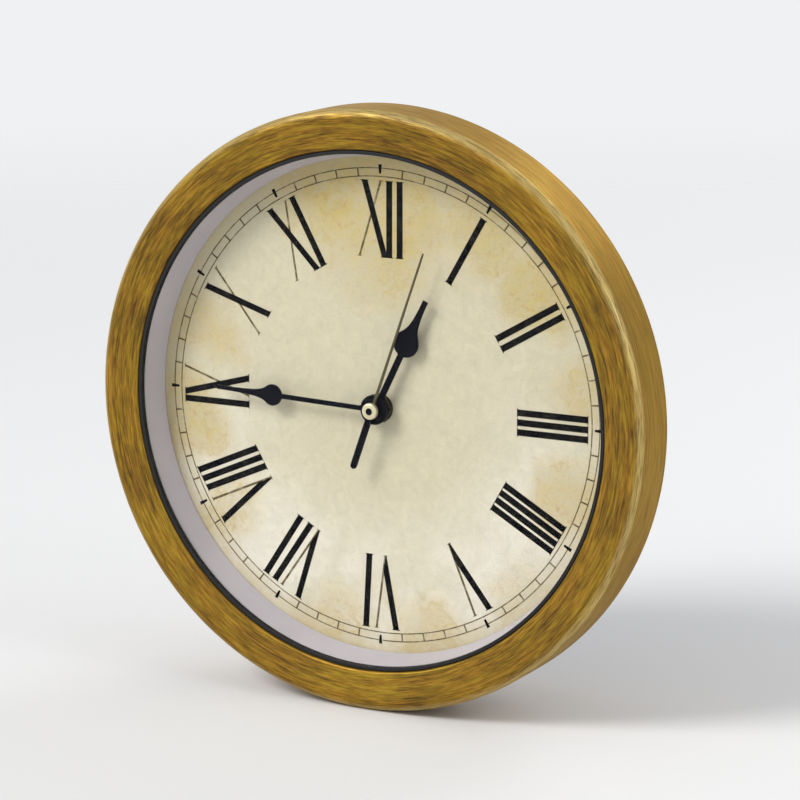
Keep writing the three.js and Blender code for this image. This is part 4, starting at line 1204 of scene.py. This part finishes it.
class CLOCKSAFE_OT_screws(bpy.types.Operator):
    """Model a screw of each length and set one at each screw of the frame"""

    bl_idname = "clocksafe.screws"
    bl_label = "Screws"

    def execute(self, context):
        bodies = {"hanger": "case", "case_hinge": "case", "door": "door", "door_hinge": "door"}
        for place_name, body in bodies.items():
            names = sorted(name for name in NODES if name.startswith(f"{place_name}_screw_"))
            sideways = place_name == "case_hinge"
            low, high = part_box(names[0])
            size = (high - low) / MM
            master = screw_of((size.x if sideways else size.y) - SCREW_HEAD)
            for name in names:
                low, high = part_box(name)
                x, y, z = (low + high) / 2 / MM
                if sideways:
                    place, turn = (low.x / MM + SCREW_HEAD, y, z), (0, 0, QUARTER)
                else:
                    place, turn = (x, high.y / MM - SCREW_HEAD, z), (0, 0, 0)
                screw = copied(master, f"cross_{name}", place, turn)
                shown(painted(screw, "steel"), body, "steel", name)
            bpy.data.objects.remove(master)
        return {"FINISHED"}


# Studio


def aimed(thing, name, target):
    thing.name = name
    thing.rotation_euler = (target - thing.location).to_track_quat("-Z", "Y").to_euler()
    return thing


class CLOCKSAFE_OT_studio(bpy.types.Operator):
    """Set the pale floor, the soft lamps and the camera"""

    bl_idname = "clocksafe.studio"
    bl_label = "Studio"

    def execute(self, context):
        scene = context.scene
        studio = scene.clock_studio
        deselect()
        bpy.ops.mesh.primitive_plane_add(size=24, location=(0, 0, RIM_LOW.z - 0.0002))
        floor = added("studio_floor")
        tint = opaque(scene.clock_colours.floor)
        made, tree = material("Pale Floor", Roughness=0.7, Specular_IOR_Level=0.2, Base_Color=tint)
        reach = vectors(tree, "LENGTH", place_of(tree), output="Value")
        floor.data.materials.append(fed(made, Alpha=mapped(tree, reach, 0.35, 2.2, 1.0, 0.0)))

        centre = Vector((0, -0.035, 0))
        power = studio.fill_power
        for name, kind, place, energy, size in (
            ("key_lamp", "SUN", (-0.9, -1.4, 1.5), studio.key_strength, math.radians(22)),
            ("front_box", "AREA", (-0.9, -1.2, 0.9), power, 0.9),
            ("side_box", "AREA", (1.5, -0.3, 0.7), 0.6 * power, 0.8),
            ("back_box", "AREA", (0.4, 1.2, 1.1), 0.7 * power, 0.9),
        ):
            deselect()
            bpy.ops.object.light_add(type=kind, location=place)
            lamp = aimed(context.object, name, centre)
            lamp.data.energy = energy
            setattr(lamp.data, "angle" if kind == "SUN" else "size", size)

        scene.world = bpy.data.worlds.new("Studio World")
        scene.world.use_nodes = True
        tree = scene.world.node_tree
        light = put(tree, "ShaderNodeLightPath", {})
        straight = maths(tree, "MAXIMUM", light["Is Camera Ray"], light["Is Transmission Ray"])
        seen = maths(tree, "MAXIMUM", straight, light["Is Glossy Ray"])
        background = tree.nodes["Background"]
        background.inputs["Color"].default_value = (0.97, 0.98, 1.0, 1)
        strength = mapped(tree, seen, 0.0, 1.0, studio.sky, 0.9)
        tree.links.new(strength, background.inputs["Strength"])

        flat = studio.distance * math.cos(studio.elevation)
        way = (
            flat * math.sin(studio.azimuth),
            -flat * math.cos(studio.azimuth),
            studio.distance * math.sin(studio.elevation),
        )
        deselect()
        bpy.ops.object.camera_add(location=centre + Vector(way))
        scene.camera = aimed(context.object, "studio_camera", centre)
        scene.camera.data.lens = studio.focal_length
        scene.camera.data.clip_end = 50
        scene.view_settings.view_transform = "Standard"
        return {"FINISHED"}


PIECES = (
    CLOCKSAFE_OT_bezel, CLOCKSAFE_OT_glass, CLOCKSAFE_OT_reflector, CLOCKSAFE_OT_dial,
    CLOCKSAFE_OT_numerals, CLOCKSAFE_OT_track, CLOCKSAFE_OT_hands, CLOCKSAFE_OT_door_back,
    CLOCKSAFE_OT_movement, CLOCKSAFE_OT_battery, CLOCKSAFE_OT_works, CLOCKSAFE_OT_pan,
    CLOCKSAFE_OT_band, CLOCKSAFE_OT_shelves, CLOCKSAFE_OT_hinge, CLOCKSAFE_OT_hanger,
    CLOCKSAFE_OT_screws, CLOCKSAFE_OT_studio,
)
GROUPS = {"clock_sizes": ClockSizes, "clock_colours": ClockColours, "clock_studio": ClockStudio}


class CLOCKSAFE_PT_panel(bpy.types.Panel):
    """Lists the clock's pieces in the order that they are made, and its sizes and colours"""

    bl_idname = "CLOCKSAFE_PT_panel"
    bl_label = "Clock Safe"
    bl_space_type = "VIEW_3D"
    bl_region_type = "UI"
    bl_category = "Clock Safe"

    def draw(self, context):
        for piece in PIECES:
            self.layout.operator(piece.bl_idname)
        for key in GROUPS:
            group = getattr(context.scene, key)
            box = self.layout.box()
            for name in group.bl_rna.properties.keys():
                if name not in ("rna_type", "name"):
                    box.prop(group, name)


def register():
    for kind in (*GROUPS.values(), *PIECES, CLOCKSAFE_PT_panel):
        bpy.utils.register_class(kind)
    for name, kind in GROUPS.items():
        setattr(bpy.types.Scene, name, bpy.props.PointerProperty(type=kind))


def unregister():
    for name in GROUPS:
        delattr(bpy.types.Scene, name)
    for kind in (CLOCKSAFE_PT_panel, *reversed(PIECES), *GROUPS.values()):
        bpy.utils.unregister_class(kind)


def main():
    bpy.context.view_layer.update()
    register()
    for piece in PIECES:
        family, name = piece.bl_idname.split(".")
        getattr(getattr(bpy.ops, family), name)()


if __name__ == "__main__":
    main()
